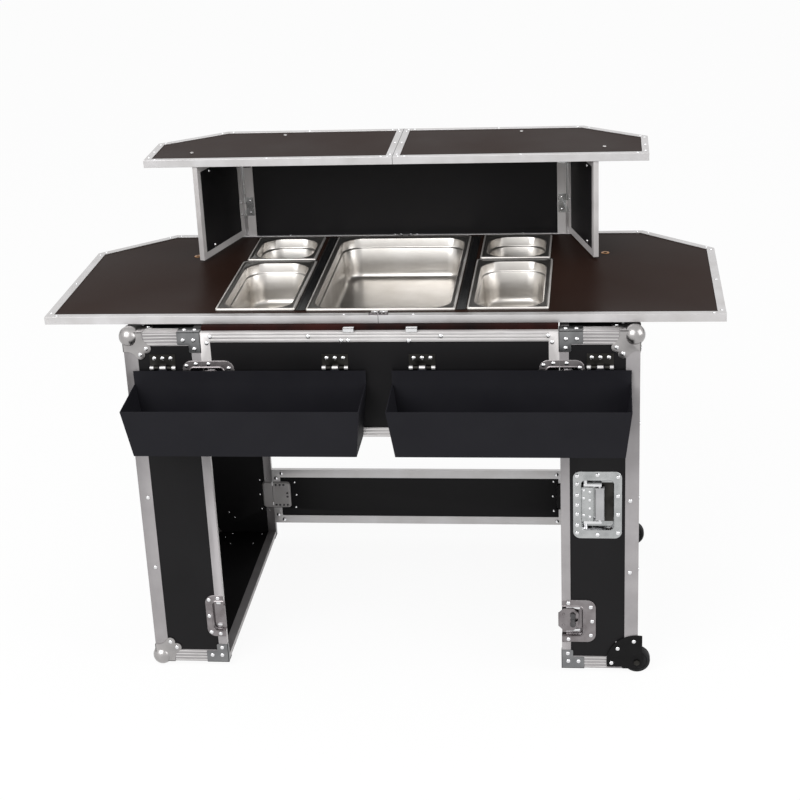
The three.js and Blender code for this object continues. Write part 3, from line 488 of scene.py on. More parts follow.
# Boards and panels of the case
board = {"rounding": 0.6, "bearerHeight": 8.5}
for node in ("left_leg_tray", "right_leg_tray", "apron_panel", "stretcher_panel", "riser_back_panel",
             "left_riser_panel", "right_riser_panel"):
    softCopy(node, "panelLaminate", board["rounding"])
for node in ("left_shelf_board", "right_shelf_board"):
    softCopy(node, "topLaminate", board["rounding"])
for node in ("left_counter_board", "right_counter_board"):
    # the bearers under each half take ply darkened to near black as painted shade
    bearerTop = boxOf(node)[0].z + board["bearerHeight"]
    paint(softCopy(node, "topLaminate", board["rounding"]), ["plyInPaintedShade"],
          lambda centre, normal: centre.z < bearerTop)
print("boards and panels done")

# Aluminium edging
edging = {"rounding": 0.45, "rimStep": 2, "rimFacing": 0.7}
for name, side in sides:        # the rim strip that faces the knee space is painted brighter, as painted light in its shade
    paint(softCopy(f"{name}_leg_edging", "post", edging["rounding"]), ["strip"],
          lambda centre, normal: (normal.x * side < -edging["rimFacing"]
                                  and abs(centre.x) < knee + edging["rimStep"]))
for node in ("apron_frame", "riser_back_edging", "left_riser_edging", "right_riser_edging"):
    softCopy(node, "strip", edging["rounding"])
for node in ("left_counter_edging", "right_counter_edging", "left_shelf_edging", "right_shelf_edging",
             "stretcher_frame"):
    softCopy(node, "edging", edging["rounding"])

rail = {"width": 30, "ribs": 4, "ribWidth": 3.4, "ribHeight": 0.9, "ribSink": 0.3, "ribEdge": 0.4,
        "braceReach": 50, "ballReach": 45, "wheelReach": 66,
        "apronStrip": 22, "apronRibs": 3, "apronRibWidth": 5.4, "apronRibHeight": 0.5}


def buildRibs(bm, length, width=rail["width"], count=rail["ribs"], ribWidth=rail["ribWidth"],
              ribHeight=rail["ribHeight"]):
    half = ribWidth / 2
    for i in range(count):
        middle = width / count * (i + 0.5)
        blockIn(bm, (0, middle - half, -rail["ribSink"]), (length, middle + half, ribHeight), rail["ribEdge"])


def railRibs(side):
    start, stop = side * (knee + rail["braceReach"]), side * (legOut - rail["ballReach"])
    lowStop = boxOf("front_wheel_bracket")[0].x if side > 0 else stop
    for way, y in ends:
        edge = y if way == "front" else y - rail["width"]
        for z, end, face in ((legTop, stop, "top"), (legBottom, lowStop, "bottom")):
            shape = shapeOf(buildRibs, abs(end - start))
            yield shape, faceAt(min(start, end), y, min(z, legTop - rail["width"]), way)
            yield shape, faceAt(min(start, end), edge, z, face)
    # along the outer side, between the corner pieces
    lowGap = rail["wheelReach"] if side > 0 else rail["ballReach"]
    for gap, z in ((rail["ballReach"], legTop - rail["width"]), (lowGap, legBottom)):
        shape = shapeOf(buildRibs, rear - front - 2 * gap)
        yield shape, faceAt(side * legOut, front + gap, z, "right" if side > 0 else "left")


for name, side in sides:
    stampPiece(f"{name}_leg_rail_ribs", "rib", railRibs(side))
for node, way in (("apron_frame", "front"), ("stretcher_frame", "rear")):
    low, high = boxOf(node)
    strip, y = rail["apronStrip"], low.y if way == "front" else high.y
    shape = shapeOf(buildRibs, high.x - low.x - 2 * strip, strip, rail["apronRibs"], rail["apronRibWidth"],
                    rail["apronRibHeight"])
    stampPiece(f"{node}_{way}_ribs", "rib", [
        (shape, faceAt(low.x + strip, y, z, way)) for z in (low.z, high.z - strip)])
print("edging and rails done")

# Ball corners: a plated ball on a three-sided flange with two round lobes on each side
ball = {"radius": 22.5, "inset": 12, "footInset": 10.5, "flange": 44, "thickness": 1.5, "edge": 0.5,
        "lobe": 11, "lobeArcs": ((-40, 109), (-19, 130)), "hollow": (3, 16), "rivets": ((50, 36), (36, 50))}
caseCorner = (0, 0, 0)
# the three outer faces at a case corner, with the case on its + side
cornerFaces = (frameAt(caseCorner, (1, 0, 0), (0, 1, 0), (0, 0, -1)),
               frameAt(caseCorner, (0, 1, 0), (0, 0, 1), (-1, 0, 0)),
               frameAt(caseCorner, (0, 0, 1), (1, 0, 0), (0, -1, 0)))


def ballFlangeOutline():
    reach, lip, (shallow, deep) = ball["flange"], -ball["thickness"], ball["hollow"]
    (x1, y1), (x2, y2) = ball["rivets"]
    firstArc, lastArc = ball["lobeArcs"]
    firstLobe = arcOf(x1, y1, ball["lobe"], *firstArc, steps=8)
    lastLobe = arcOf(x2, y2, ball["lobe"], *lastArc, steps=8)
    leaving = curveOf((reach, lip), (reach - shallow, y1 - deep), firstLobe[0])
    returning = curveOf(lastLobe[-1], (x2 - deep, reach - shallow), (lip, reach))
    return [(lip, lip)] + leaving[:-1] + firstLobe + lastLobe[1:] + returning[1:]


def buildBallCorner(bm, depth):
    middle = Matrix.Translation((ball["inset"], ball["inset"], depth))
    bmesh.ops.create_uvsphere(bm, u_segments=32, v_segments=20, radius=ball["radius"], matrix=middle)
    for normal in ((1, 0, 0), (0, 1, 0), (0, 0, 1)):
        cutAt(bm, caseCorner, normal)
    hidden = [face for face in bm.faces if min(face.calc_center_median()) > 0]
    bmesh.ops.delete(bm, geom=hidden, context="FACES")
    bmesh.ops.holes_fill(bm, edges=bm.edges, sides=0)
    plate = shapeOf(plateIn, ballFlangeOutline(), -plateSink, ball["thickness"], ball["edge"])
    for face in cornerFaces:
        stamp(bm, plate, face)


def cornerPlace(x, y, z):
    inwards = (-math.copysign(1, x), 1 if y < legsMiddle else -1, 1 if z < legTop / 2 else -1)
    return Matrix.Translation((x, y, z)) @ Matrix.Diagonal((*inwards, 1))


ballPlaces = {f"left_{end}_ball_foot": cornerPlace(-legOut, y, legBottom) for end, y in ends}
ballPlaces.update({f"{name}_{end}_ball_corner": cornerPlace(side * legOut, y, legTop)
                   for name, side in sides for end, y in ends})
footShape, cornerShape = (shapeOf(buildBallCorner, ball[key]) for key in ("footInset", "inset"))
for name, place in ballPlaces.items():
    isFoot = name.endswith("foot")
    stampPiece(name + "_chromed", "nickel", [(footShape if isFoot else cornerShape, place)],
               replaced=[name] if isFoot else [])

# L-braces at the rim's corners
brace = {"arm": 50, "armHeight": 28, "leg": 25, "legHeight": 46, "thickness": 1.3, "topDepth": 30,
         "cheek": 10, "corner": 3, "edge": 0.4,
         "rivets": ((37, 17), (14, 17), (13, 37)), "topRivets": ((36, 16), (13, 16))}
braceTop = frameAt(caseCorner, (1, 0, 0), (0, 0, -1), (0, -1, 0))
braceCheek = frameAt(caseCorner, (0, 1, 0), (0, 0, -1), (-1, 0, 0))


def buildBrace(bm):
    # drawn from the rim's corner: x away from the opening, y away from the case's end
    r, lip, arm, tall = brace["corner"], -brace["thickness"], brace["arm"], brace["legHeight"]
    start = [(lip, lip), (arm, lip)]
    face = start + arcOf(arm - r, brace["armHeight"] - r, r, 0, 90, 3) + [(brace["leg"], brace["armHeight"])]
    face += arcOf(brace["leg"] - r, tall - r, r, 0, 90, 3) + [(lip, tall)]
    flap = start + arcOf(arm - r, brace["topDepth"] - r, r, 0, 90, 3) + [(lip, brace["topDepth"])]
    cheek = [(lip, lip), (tall, lip), (tall, brace["cheek"]), (lip, brace["cheek"])]
    for outline, place in ((face, Matrix.Identity(4)), (flap, braceTop), (cheek, braceCheek)):
        stamp(bm, shapeOf(plateIn, outline, -plateSink, brace["thickness"], brace["edge"]), place)


braceShape = shapeOf(buildBrace)
bracePlaces = [frameAt((side * knee, y, z), (side, 0, 0), (0, 0, up), (0, out, 0))
               for name, side in sides for y, out in ((front, -1), (rear, 1))
               for z, up in ((legBottom, 1), (legTop, -1))]
stampPiece("corner_braces", "bracePlate", [(braceShape, place) for place in bracePlaces])
print("ball corners and braces done")

# Rivets over the legs, their corner pieces, the apron and the stretcher
rivetRows = {"postInset": 19, "postHeights": (244, 420), "upperHeight": 596, "railCount": 4, "railEnd": 130,
             "wall": 10.5, "wallTails": ((509, 78), (495, 63)),
             "floorTails": ((517, 44), (501, 24), (496, 82), (437, 78), (422, 24))}


def legRivets(side):
    inset, heights = rivetRows["postInset"], rivetRows["postHeights"]
    out, outer = side * (legOut - inset), "right" if side > 0 else "left"
    for way, y in ends:
        sideY = y + inset if way == "front" else y - inset
        for height in heights:
            yield rivetShape, faceAt(out, y, legBottom + height, way)
        for height in (*heights, rivetRows["upperHeight"]):
            yield rivetShape, faceAt(side * legOut, sideY, legBottom + height, outer)
    for y in along(front + rivetRows["railEnd"], rear - rivetRows["railEnd"], rivetRows["railCount"]):
        for z in (legBottom + inset, legTop - inset):
            yield rivetShape, shift(faceAt(side * legOut, y, z, outer), 0, 0, rail["ribHeight"])
        yield rivetShape, faceAt(out, y, legTop, "top")
    # tails inside the leg, at its rear
    for x, z in rivetRows["wallTails"]:
        yield smallRivetShape, faceAt(side * x, rear - rivetRows["wall"], z, "front")
    for x, y in rivetRows["floorTails"]:
        yield smallRivetShape, faceAt(side * x, rear - y, legBottom + rivetRows["wall"], "top")


def cornerRivets():
    for place in ballPlaces.values():
        for face in cornerFaces:
            for x, y in ball["rivets"]:
                yield rivetShape, shift(place @ face, x, y, ball["thickness"])
    for place in bracePlaces:
        for x, y in brace["rivets"]:
            yield rivetShape, shift(place, x, y, brace["thickness"])
        for x, y in brace["topRivets"]:
            yield rivetShape, shift(place @ braceTop, x, y, brace["thickness"])


stampPiece("corner_rivets", "chrome", cornerRivets())
for name, side in sides:
    stampPiece(f"{name}_leg_rivets", "chrome", legRivets(side))

frameRivets = {"apron_frame": ((23, 9.5), (15, 24)), "stretcher_frame": ((26, 10), (11, 24))}
apronFittings = {"rivets": ((-149, 9.5), (136, 9.5), (-78, 19), (-63, 19), (67, 20)),
                 "tabs": ((-73, -50), (62, 86)), "tabSheet": 1.4, "tabDepth": 10, "tabEdge": 0.4,
                 "battenGap": 2, "battenFit": 0.5, "battenDepth": 20, "battenDrop": 38, "battenEdge": 0.8}
apronLow, apronHigh = boxOf("apron_frame")


def crossFrameRivets():
    for node, spots in frameRivets.items():
        low, high = boxOf(node)
        for way, y in (("front", low.y), ("rear", high.y)):
            for side in (-1, 1):
                for across, drop in spots:
                    lift = rail["apronRibHeight"] if across > rail["apronStrip"] else 0
                    for z in (low.z + drop, high.z - drop):
                        yield rivetShape, shift(faceAt(side * (high.x - across), y, z, way), 0, 0, lift)
    for x, drop in apronFittings["rivets"]:
        spot = faceAt(x, apronLow.y, apronHigh.z - drop, "front")
        yield rivetShape, shift(spot, 0, 0, rail["apronRibHeight"])


stampPiece("brace_frame_rivets", "chrome", crossFrameRivets())

# two angle tabs from the counter down to the apron's top, and the batten behind it in ply darkened to near
# black as painted shade
counterUnder = boxOf("right_counter_edging")[0].z
tabBack = apronLow.y - rail["ribHeight"]
tabFront = tabBack - apronFittings["tabSheet"]
bm = bmesh.new()
for x0, x1 in apronFittings["tabs"]:
    blockIn(bm, (x0, tabFront, apronHigh.z), (x1, tabBack, counterUnder), apronFittings["tabEdge"])
    blockIn(bm, (x0, tabFront, counterUnder - apronFittings["tabSheet"]),
            (x1, apronLow.y + apronFittings["tabDepth"], counterUnder), apronFittings["tabEdge"])
finishPiece("apron_tabs", bm, "chrome")
battenHalf, battenFoot = knee - apronFittings["battenGap"], apronHigh.z - apronFittings["battenDrop"]
bm = bmesh.new()
blockIn(bm, (-battenHalf, apronHigh.y + apronFittings["battenFit"], battenFoot),
        (battenHalf, apronHigh.y + apronFittings["battenDepth"], counterUnder), apronFittings["battenEdge"])
# the batten's near-black colour is painted shade
finishPiece("counter_batten", bm, "plyInPaintedShade")
print("rivets and apron fittings done")

# Butterfly latches: a pressed dish cut at the seam, an eight-sided hook plate and a two-winged key
latchSheet = {"thickness": 1.2, "wall": 1.2, "lip": 2.6, "lipRise": 1.3, "depth": 13}
latch = {"corner": 20, "windowHalf": 36, "windowCorner": 8, "tubLength": 46, "fit": 0.4, "panel": 10.5,
         "edgeRivet": 8, "cornerRivet": (11, 17), "seamRivet": (15, 7),
         "catchReach": 43, "catchHalf": 53, "catchLength": 26,
         "catchRivets": ((-34, 42), (-34, -42), (-36, 0), (-13, 46), (-13, -46)),
         "strike": 4, "strikeHalf": 22, "strikeTop": -9.4, "strikeEdge": 0.6,
         # bright blocks on each tub's floor: painted highlight
         "highlightHalf": (25, 34.5), "highlightStart": 9, "highlightEnd": 4, "highlightRise": 4, "highlightEdge": 1.6,
         "backSlope": 0.1, "backDepth": 11,
         "backRivets": ((10, 29), (20, 29), (30, 29), (8, -29), (18, -29), (28, -29), (38, -29),
                        (39, 5), (39, -5)),
         "hookRivets": ((4, 14), (4, -14), (30, 18), (30, -18)), "hookTop": -6, "hookEdge": 0.5,
         "keyPlace": 25, "keyTop": -1.5, "keyEdge": 0.7, "wingThickness": 2.5, "wingRadius": 6.5,
         "wingHalf": 18, "wingArc": (-35, 215), "waist": 3.6,
         "shaft": 5, "boss": 3.4, "bossRise": 1.2, "step": 0.8}
latchNames = ("apron_left_latch", "apron_right_latch", "case_front_latch", "stretcher_left_latch",
              "stretcher_right_latch")
tubFloor = -latchSheet["depth"]
turnedOver = Matrix.Rotation(math.pi, 4, "X")
mirrorX = Matrix.Diagonal((-1, 1, 1, 1))


def latchPlace(name):
    low, high = boxOf(name + "_dish")
    way, y = ends[0] if low.y < legsMiddle else ends[1]
    return faceAt(low.x - latch["fit"], y, (low.z + high.z) / 2, way)


def buildHalfDish(bm, reach, half, length):
    # from the seam at x = 0 outwards
    window = (2 * length, 2 * latch["windowHalf"], latch["windowCorner"])
    pressedDish(bm, (2 * reach, 2 * half, latch["corner"]), window, latchSheet)
    cutAt(bm, (latch["fit"], 0, 0), (-1, 0, 0), clear_outer=True)
    bmesh.ops.holes_fill(bm, edges=bm.edges, sides=0)
    faceOut(bm)


def buildCatch(bm):
    # drawn like a dish, with the strike that the hook plate pulls on
    buildHalfDish(bm, latch["catchReach"], latch["catchHalf"], latch["catchLength"])
    blockIn(bm, (latch["fit"], -latch["strikeHalf"], tubFloor),
            (latch["strike"], latch["strikeHalf"], latch["strikeTop"]), latch["strikeEdge"])


def buildTubHighlights(bm, length):
    # two bright chrome blocks at the ends of a tub's floor: painted highlight where the lit floor shines
    inner, outer = latch["highlightHalf"]
    for low, high in ((-outer, -inner), (inner, outer)):
        blockIn(bm, (latch["highlightStart"], low, tubFloor - plateSink),
                (length - latch["highlightEnd"], high, tubFloor + latch["highlightRise"]), latch["highlightEdge"])


def finishTub(piece, back):
    # the outside of the drawn tub, towards the case's inside, has a finish of its own: painted light and
    # shade, brighter inside a leg and near black in a panel's shaded gap
    def isBack(centre, normal):
        depth = min(abs(centre.y - front), abs(centre.y - rear))
        return normal.y * (centre.y - legsMiddle) < -latch["backSlope"] and depth > latch["backDepth"]

    paint(piece, [back], isBack)


def buildKey(bm):
    # two round wings with a narrow waist, on a shaft that stands on the dish's floor
    r, waist, (start, end) = latch["wingRadius"], latch["waist"], latch["wingArc"]
    centre, top, step = latch["wingHalf"] - r, latch["keyTop"], latch["step"]
    outline = arcOf(0, centre, r, start, end, 10) + [(-waist, 0)]
    outline += arcOf(0, -centre, r, start + 180, end + 180, 10) + [(waist, 0)]
    plateIn(bm, outline, top - latch["wingThickness"], top, latch["keyEdge"])
    shaft, boss = latch["shaft"], latch["boss"]
    foot, bossFoot, bossTop = latch["fit"] + tubFloor, top - step / 2, top + latch["bossRise"]
    for profile in ([(0, foot), (shaft, foot), (shaft, top - step), (0, top - step)],
                    [(0, bossFoot), (boss, bossFoot), (boss, top + step), (boss - step, bossTop),
                     (0, bossTop)]):
        stamp(bm, shapeOf(spunIn, profile, steps=20), Matrix.Identity(4))


def throughRivets(place, spots):
    # a rivet's head on the flange and its tail on the panel's inner face
    for x, y in spots:
        yield rivetShape, shift(place, x, y, latchSheet["thickness"])
        yield smallRivetShape, shift(place, x, y, -latch["panel"]) @ turnedOver


keyShape, catchShape = shapeOf(buildKey), shapeOf(buildCatch)
tubHighlights, catchHighlights = (shapeOf(buildTubHighlights, latch[key]) for key in ("tubLength", "catchLength"))
rivetsOnLatches, highlightsInTubs, tailsOnTubs = [], [], []
for name in latchNames:
    place = latchPlace(name)
    low, high = boxOf(name + "_dish")
    reach, half = high.x - low.x + latch["fit"], (high.z - low.z) / 2
    dish = shapeOf(buildHalfDish, reach, half, latch["tubLength"])
    piece = stampPiece(name + "_dish_pressed", "latchPlate", [(dish, place)], replaced=[name + "_dish"])
    finishTub(piece, "strip")
    highlightsInTubs.append((tubHighlights, place))
    tailsOnTubs += [(smallRivetShape, shift(place, x, y, tubFloor - latchSheet["wall"]) @ turnedOver)
                    for x, y in latch["backRivets"]]
    stampPiece(name + "_key_cast", "keyDark", [(keyShape, shift(place, latch["keyPlace"], 0))], name + "_key",
               replaced=[name + "_key"])
    softCopy(name + "_hook", "latchPlate", latch["hookEdge"], [
        (smallRivetShape, shift(place, x, y, latch["hookTop"])) for x, y in latch["hookRivets"]])
    (cornerX, cornerY), (seamX, seamY) = latch["cornerRivet"], latch["seamRivet"]
    rivetsOnLatches += throughRivets(place, (
        (reach - latch["edgeRivet"], 0), (reach - cornerX, half - cornerY), (reach - cornerX, cornerY - half),
        (seamX, half - seamY), (seamX, seamY - half)))

# the catch halves: every seam's other side, and the case's own lower front catch
catchPlaces = {name: latchPlace(name) for name in latchNames}
catchPlaces["case_front_latch"] = faceAt(-knee, front, catchPlaces["case_front_latch"].translation.z, "front")
for name, place in catchPlaces.items():
    onLeg = place.translation.x < 0     # the others sit in a panel, their backs near black as painted shade
    finishTub(stampPiece(name + "_catch", "latchPlate", [(catchShape, place @ mirrorX)]),
              "strip" if onLeg else "panelLaminate")
    highlightsInTubs.append((catchHighlights, place @ mirrorX))
    rivetsOnLatches += throughRivets(place, latch["catchRivets"])
stampPiece("latch_rivets", "chrome", rivetsOnLatches)
# the painted highlights on the tub floors
stampPiece("latch_tub_highlights", "chrome", highlightsInTubs)
stampPiece("latch_tub_tails", "keyDark", tailsOnTubs)
print("latches done")

# Corner wheels: a turned tyre, a fan-shaped plate, an axle bolt and three rivets
wheel = {"radius": 30, "width": 22, "bore": 4.4, "hub": 11, "rim": 23, "recess": 2.6, "plateEdge": 0.8,
         "plateRise": 3, "rivets": ((-7, 53), (-43, 34), (-57, -3)),
         "boltAcross": 7.5, "boltDepth": 5, "boltEdge": 0.7, "boltRise": 4.5}


def wheelProfile():
    half, outer, rim, hub = wheel["width"] / 2, wheel["radius"], wheel["rim"], wheel["hub"]
    dip = half - wheel["recess"]
    # from the bore out to the tread, then a shallow groove round its middle
    side = [(wheel["bore"], half), (hub - 0.8, half), (hub, half - 0.8), (hub + 1.2, dip), (rim - 1.5, dip),
            (rim, half - 1), (rim + 1, half), (outer - 4, half), (outer - 1.6, half - 0.9),
            (outer - 0.4, half - 2.8), (outer, half - 5.5)]
    groove = [(outer - 0.5, -0.6), (outer - 0.5, 0.6)]
    return [(radius, -height) for radius, height in side] + groove + side[::-1]


def buildBolt(bm):
    across = wheel["boltAcross"]
    head = bmesh.ops.create_cone(bm, cap_ends=True, segments=6, radius1=across, radius2=across,
                                 depth=wheel["boltDepth"])["verts"]
    roundEdges(bm, edgesOf(head), wheel["boltEdge"])


wheelShape = shapeOf(spunIn, wheelProfile(), axis=(0, 1, 0), steps=48, closed=True)
axleBolt = shapeOf(buildBolt)
for end, y in ends:
    node = f"{end}_wheel"
    low, high = boxOf(node)
    middle = (low + high) / 2
    stampPiece(node + "_turned", "tyre", [(wheelShape, Matrix.Translation(middle))], node, [node])
    face = faceAt(middle.x, y, middle.z, end)
    softCopy(node + "_bracket", "wheelPlate", wheel["plateEdge"])
    stampPiece(node + "_plate_rivets", "chrome", [
        (rivetShape, shift(face, x, z, wheel["plateRise"])) for x, z in wheel["rivets"]])
    stampPiece(f"{end}_axle_bolt", "hingeDark", [(axleBolt, shift(face, 0, 0, wheel["boltRise"]))])
print("wheels done")

# Spring handle: a pressed dish, a bail with its spring and cover strip, and a flat grip
handleSheet = {"thickness": 1.2, "wall": 1.2, "lip": 2.5, "lipRise": 1, "depth": 17}
handle = {"flangeCorner": 16, "window": (70, 118, 9), "bailEdge": 1.2, "springRadius": 4.6, "springWire": 0.9,
          "springTurns": 12, "turnSteps": 20, "springLength": 68,
          "coverWidth": 26, "coverHalf": 41, "coverTop": -2.4, "coverSheet": 1.2,
          "coverEdge": 0.5, "foldEdge": 0.3,
          "coverRivets": ((18.2, -30), (18.2, -10), (18.2, 10), (18.2, 30), (5, 34), (5, 15), (5, -26)),
          "gripRounding": 3.4, "gripBand": 3, "bandRise": 0.5, "bandEdge": 1.2,
          "wallDepth": 1, "floorDepth": 16.5, "paintedShadowHalf": 47,
          "leftRivets": (70, 51, 24, 0, -22, -49, -68), "rightRivets": (68, 22, -23, -68), "rivetInset": 8.5}

low, high = boxOf("handle_dish")
handleWide, handleTall = high.x - low.x, high.z - low.z
handlePlace = faceAt((low.x + high.x) / 2, low.y + handleSheet["thickness"], (low.z + high.z) / 2, "front")
handleFace = handlePlace.translation.y
gripLow, gripHigh = boxOf("handle_grip")
gripMiddle = (gripLow + gripHigh) / 2
handleFlange = (handleWide, handleTall, handle["flangeCorner"])
bm = bmesh.new()
stamp(bm, shapeOf(pressedDish, handleFlange, handle["window"], handleSheet), handlePlace)
# cuts that bound the painted shadow on the dish's floor
for rise, normal in ((0, (1, 0, 0)), (handle["paintedShadowHalf"], (0, 0, 1)), (-handle["paintedShadowHalf"], (0, 0, 1))):
    cutAt(bm, gripMiddle + Vector((0, 0, rise)), normal)


def dishPaintedLightAndShade(centre, normal):
    # a brighter steel on the walls as painted highlight, and a floor painted near black beside the grip as
    # painted shadow
    depth = centre.y - handleFace
    if depth > handle["floorDepth"]:
        return 2 * (centre.x > gripMiddle.x and abs(centre.z - gripMiddle.z) < handle["paintedShadowHalf"])
    return depth > handle["wallDepth"]


paint(finishPiece("handle_dish_pressed", bm, "handleSteel", replaced=["handle_dish"]),
      ["chrome", "hingeDark"], dishPaintedLightAndShade)
softCopy("handle_bail", "chrome", handle["bailEdge"], sharp=35)
bailLow, bailHigh = boxOf("handle_bail")
pivotX = bailLow.x + (bailHigh.y - bailLow.y) / 2


def buildSpring(bm):
    start = Matrix.Translation((handle["springRadius"], 0, -handle["springLength"] / 2))
    wire = bmesh.ops.create_circle(bm, cap_ends=False, segments=8, radius=handle["springWire"],
                                   matrix=start @ Matrix.Rotation(math.pi / 2, 4, "X"))["verts"]
    steps = handle["turnSteps"] * handle["springTurns"]
    bmesh.ops.spin(bm, geom=wire + edgesOf(wire), cent=(0, 0, 0), axis=(0, 0, 1), steps=steps,
                   angle=2 * math.pi * handle["springTurns"], dvec=(0, 0, handle["springLength"] / steps))
    bmesh.ops.holes_fill(bm, edges=bm.edges, sides=0)
    faceOut(bm)


def buildCover(bm):
    # a folded strip from the dish's wall over the spring, down to the floor beside the grip
    near = -handle["window"][0] / 2 - plateSink
    far, half = near + handle["coverWidth"], handle["coverHalf"]
    top, sheet = handle["coverTop"], handle["coverSheet"]
    blockIn(bm, (near, -half, top - sheet), (far, half, top), handle["coverEdge"])
    blockIn(bm, (far - sheet, -half, -handleSheet["depth"] - plateSink), (far, half, top - sheet / 2),
            handle["foldEdge"])


# the grip: a flat sleeve with rounded edges and a raised band round each end
bm = bmesh.new()
blockIn(bm, gripLow, gripHigh, handle["gripRounding"], 3)
rise, band = Vector((handle["bandRise"], handle["bandRise"])), handle["gripBand"]
for z in (gripLow.z, gripHigh.z - band):
    blockIn(bm, (*(gripLow.xy - rise), z), (*(gripHigh.xy + rise), z + band), handle["bandEdge"])
finishPiece("handle_grip_moulded", bm, "gripSleeve", "handle_bail", ["handle_grip"])
springPlace = Matrix.Translation((pivotX, (bailLow.y + bailHigh.y) / 2, gripMiddle.z))
stampPiece("handle_spring", "chrome", [(shapeOf(buildSpring), springPlace)])
stampPiece("handle_spring_cover", "handleSteel", [(shapeOf(buildCover), handlePlace)])
edge, topEdge = handleWide / 2 - handle["rivetInset"], handleTall / 2 - handle["rivetInset"]
spots = [(-edge, y) for y in handle["leftRivets"]] + [(edge, y) for y in handle["rightRivets"]]
handleRivets = [(rivetShape, shift(handlePlace, x, y, handleSheet["thickness"]))
                for x, y in spots + [(0, topEdge), (0, -topEdge)]]
handleRivets += [(smallRivetShape, shift(handlePlace, x - handle["window"][0] / 2, y, handle["coverTop"]))
                 for x, y in handle["coverRivets"]]
stampPiece("handle_rivets", "chrome", handleRivets)
print("handle done")

# Food pans: a rolled rim, a stacking shoulder and a rounded floor in thin steel
pan = {"sheet": 0.9, "bead": 4.6, "segments": 48,
       # draw-in from the rim's outside, drop below its top, corner radius
       "section": ((0, 4.7, 6), (0, 2.4, 6), (0.6, 0.9, 6), (2.2, 0.1, 7), (4, 0.4, 8), (5.4, 1.4, 10),
                   (6.2, 2.3, 12), (10.4, 2.4, 36), (12.2, 2.8, 43), (13.1, 4.4, 46), (13.6, 23.5, 46),
                   (14.3, 25.2, 46), (16.2, 25.9, 45), (17.2, 27.6, 45), (20.6, 80, 42), (21.6, 89, 41),
                   (24.6, 95.5, 38), (30, 98.6, 34), (40, 99, 26))}


def buildPan(bm, width, length):
    rings = [(width - 2 * inset, length - 2 * inset, radius, -drop) for inset, drop, radius in pan["section"]]
    bmesh.ops.edgeloop_fill(bm, edges=ringsIn(bm, rings, pan["segments"])[1])
    faceOut(bm)
    if max(bm.faces, key=lambda face: face.calc_area()).normal.z < 0:
        bmesh.ops.reverse_faces(bm, faces=bm.faces)
    bmesh.ops.solidify(bm, geom=bm.faces, thickness=pan["sheet"])


for name in ("ice_pan", "left_front_pan", "right_front_pan", "left_rear_pan", "right_rear_pan"):
    low, high = boxOf(name)
    shape = shapeOf(buildPan, high.x - low.x, high.y - low.y)
    place = Matrix.Translation(((low.x + high.x) / 2, (low.y + high.y) / 2, high.z))
    piece = stampPiece(name + "_drawn", "panSteel", [(shape, place)], name, [name], sharp=50)
    # the rolled bead is painted brighter as painted highlight along the rims
    paint(piece, ["panBeadHighlight"],
          lambda centre, normal: min(*(centre - low).xy, *(high - centre).xy) < pan["bead"])

# black ridged bars between the pans
iceLow, iceHigh = boxOf("ice_pan")
frontLow, frontHigh = boxOf("right_front_pan")
rearLow, rearHigh = boxOf("right_rear_pan")
divider = {"gap": 2.2, "height": 1.6, "edge": 0.9, "boardDrop": 1.5,
           "ridge": 2.4, "ridgeHeight": 0.9, "ridgeSink": 0.5, "ridgeEdge": 0.6, "ridges": (0.24, 0.76)}
boardTop = boxOf("left_counter_edging")[1].z - divider["boardDrop"]


def dividerBar(bm, x0, x1, y0, y1):
    low, high, top = (min(x0, x1), y0), (max(x0, x1), y1), boardTop + divider["height"]
    ridgeLow, ridgeTop = top - divider["ridgeSink"], top + divider["ridgeHeight"]
    blockIn(bm, (*low, boardTop), (*high, top), divider["edge"])
    across = 0 if high[1] - low[1] > high[0] - low[0] else 1
    for share in divider["ridges"]:
        start, end = list(low), list(high)
        middle = low[across] + share * (high[across] - low[across])
        start[across], end[across] = middle - divider["ridge"] / 2, middle + divider["ridge"] / 2
        blockIn(bm, (*start, ridgeLow), (*end, ridgeTop), divider["ridgeEdge"])


gap = divider["gap"]
bm = bmesh.new()
for side in (-1, 1):
    dividerBar(bm, side * (iceHigh.x + gap), side * (frontLow.x - gap), frontLow.y, rearHigh.y)
    dividerBar(bm, side * frontLow.x, side * frontHigh.x, frontHigh.y + gap, rearLow.y - gap)
finishPiece("pan_divider_bars", bm, "dividerBar")
print("pans done")

# Counter and shelf fittings: rivets along the edging, at distances from its seam, corners and chamfers
topRivets = {
    "counter": {"flange": 18, "chamfer": (162, 144), "front": (75,), "rear": (12, 27, 286), "seam": 2},
    "shelf": {"flange": 16, "chamfer": (149, 110), "front": (12, 27, 292), "rear": (12, 27, 230), "seam": 3},
    "corner": 26, "before": 14, "past": 12, "chamferSpot": (9, 7)}
topFittings = {"bolts": ((481, 148), (285, 306)), "insert": (483, 130),     # from the legs' middle
               "insertProfile": ((4.4, -1), (9.5, -1), (9.5, 0.5), (8.8, 0.9), (5, 0.9), (4.4, 0.4)),
               "hingeRivets": (5, 13), "hingeLeaf": 1.5, "hingeEdge": 0.4}


def topRivetSpots(low, high, rows):
    inset, (chamferX, chamferY) = rows["flange"] / 2, rows["chamfer"]
    end, past, away = max(abs(low.x), abs(high.x)), topRivets["past"], topRivets["corner"]
    spotX, spotY = topRivets["chamferSpot"]
    spots = [(x, low.y + inset) for x in rows["front"]] + [(x, high.y - inset) for x in rows["rear"]]
    return spots + [
        (end - chamferX - topRivets["before"], high.y - inset),
        (end - chamferX + past, high.y - inset - past * chamferY / chamferX),
        (end - inset, high.y - chamferY - past), (end - inset - spotX, high.y - chamferY + spotY),
        (end - inset, low.y + away), (end - away, low.y + inset),
        (end - inset, (low.y + high.y - chamferY) / 2),
    ] + [(inset, y) for y in along(low.y + away, high.y - away, rows["seam"])]


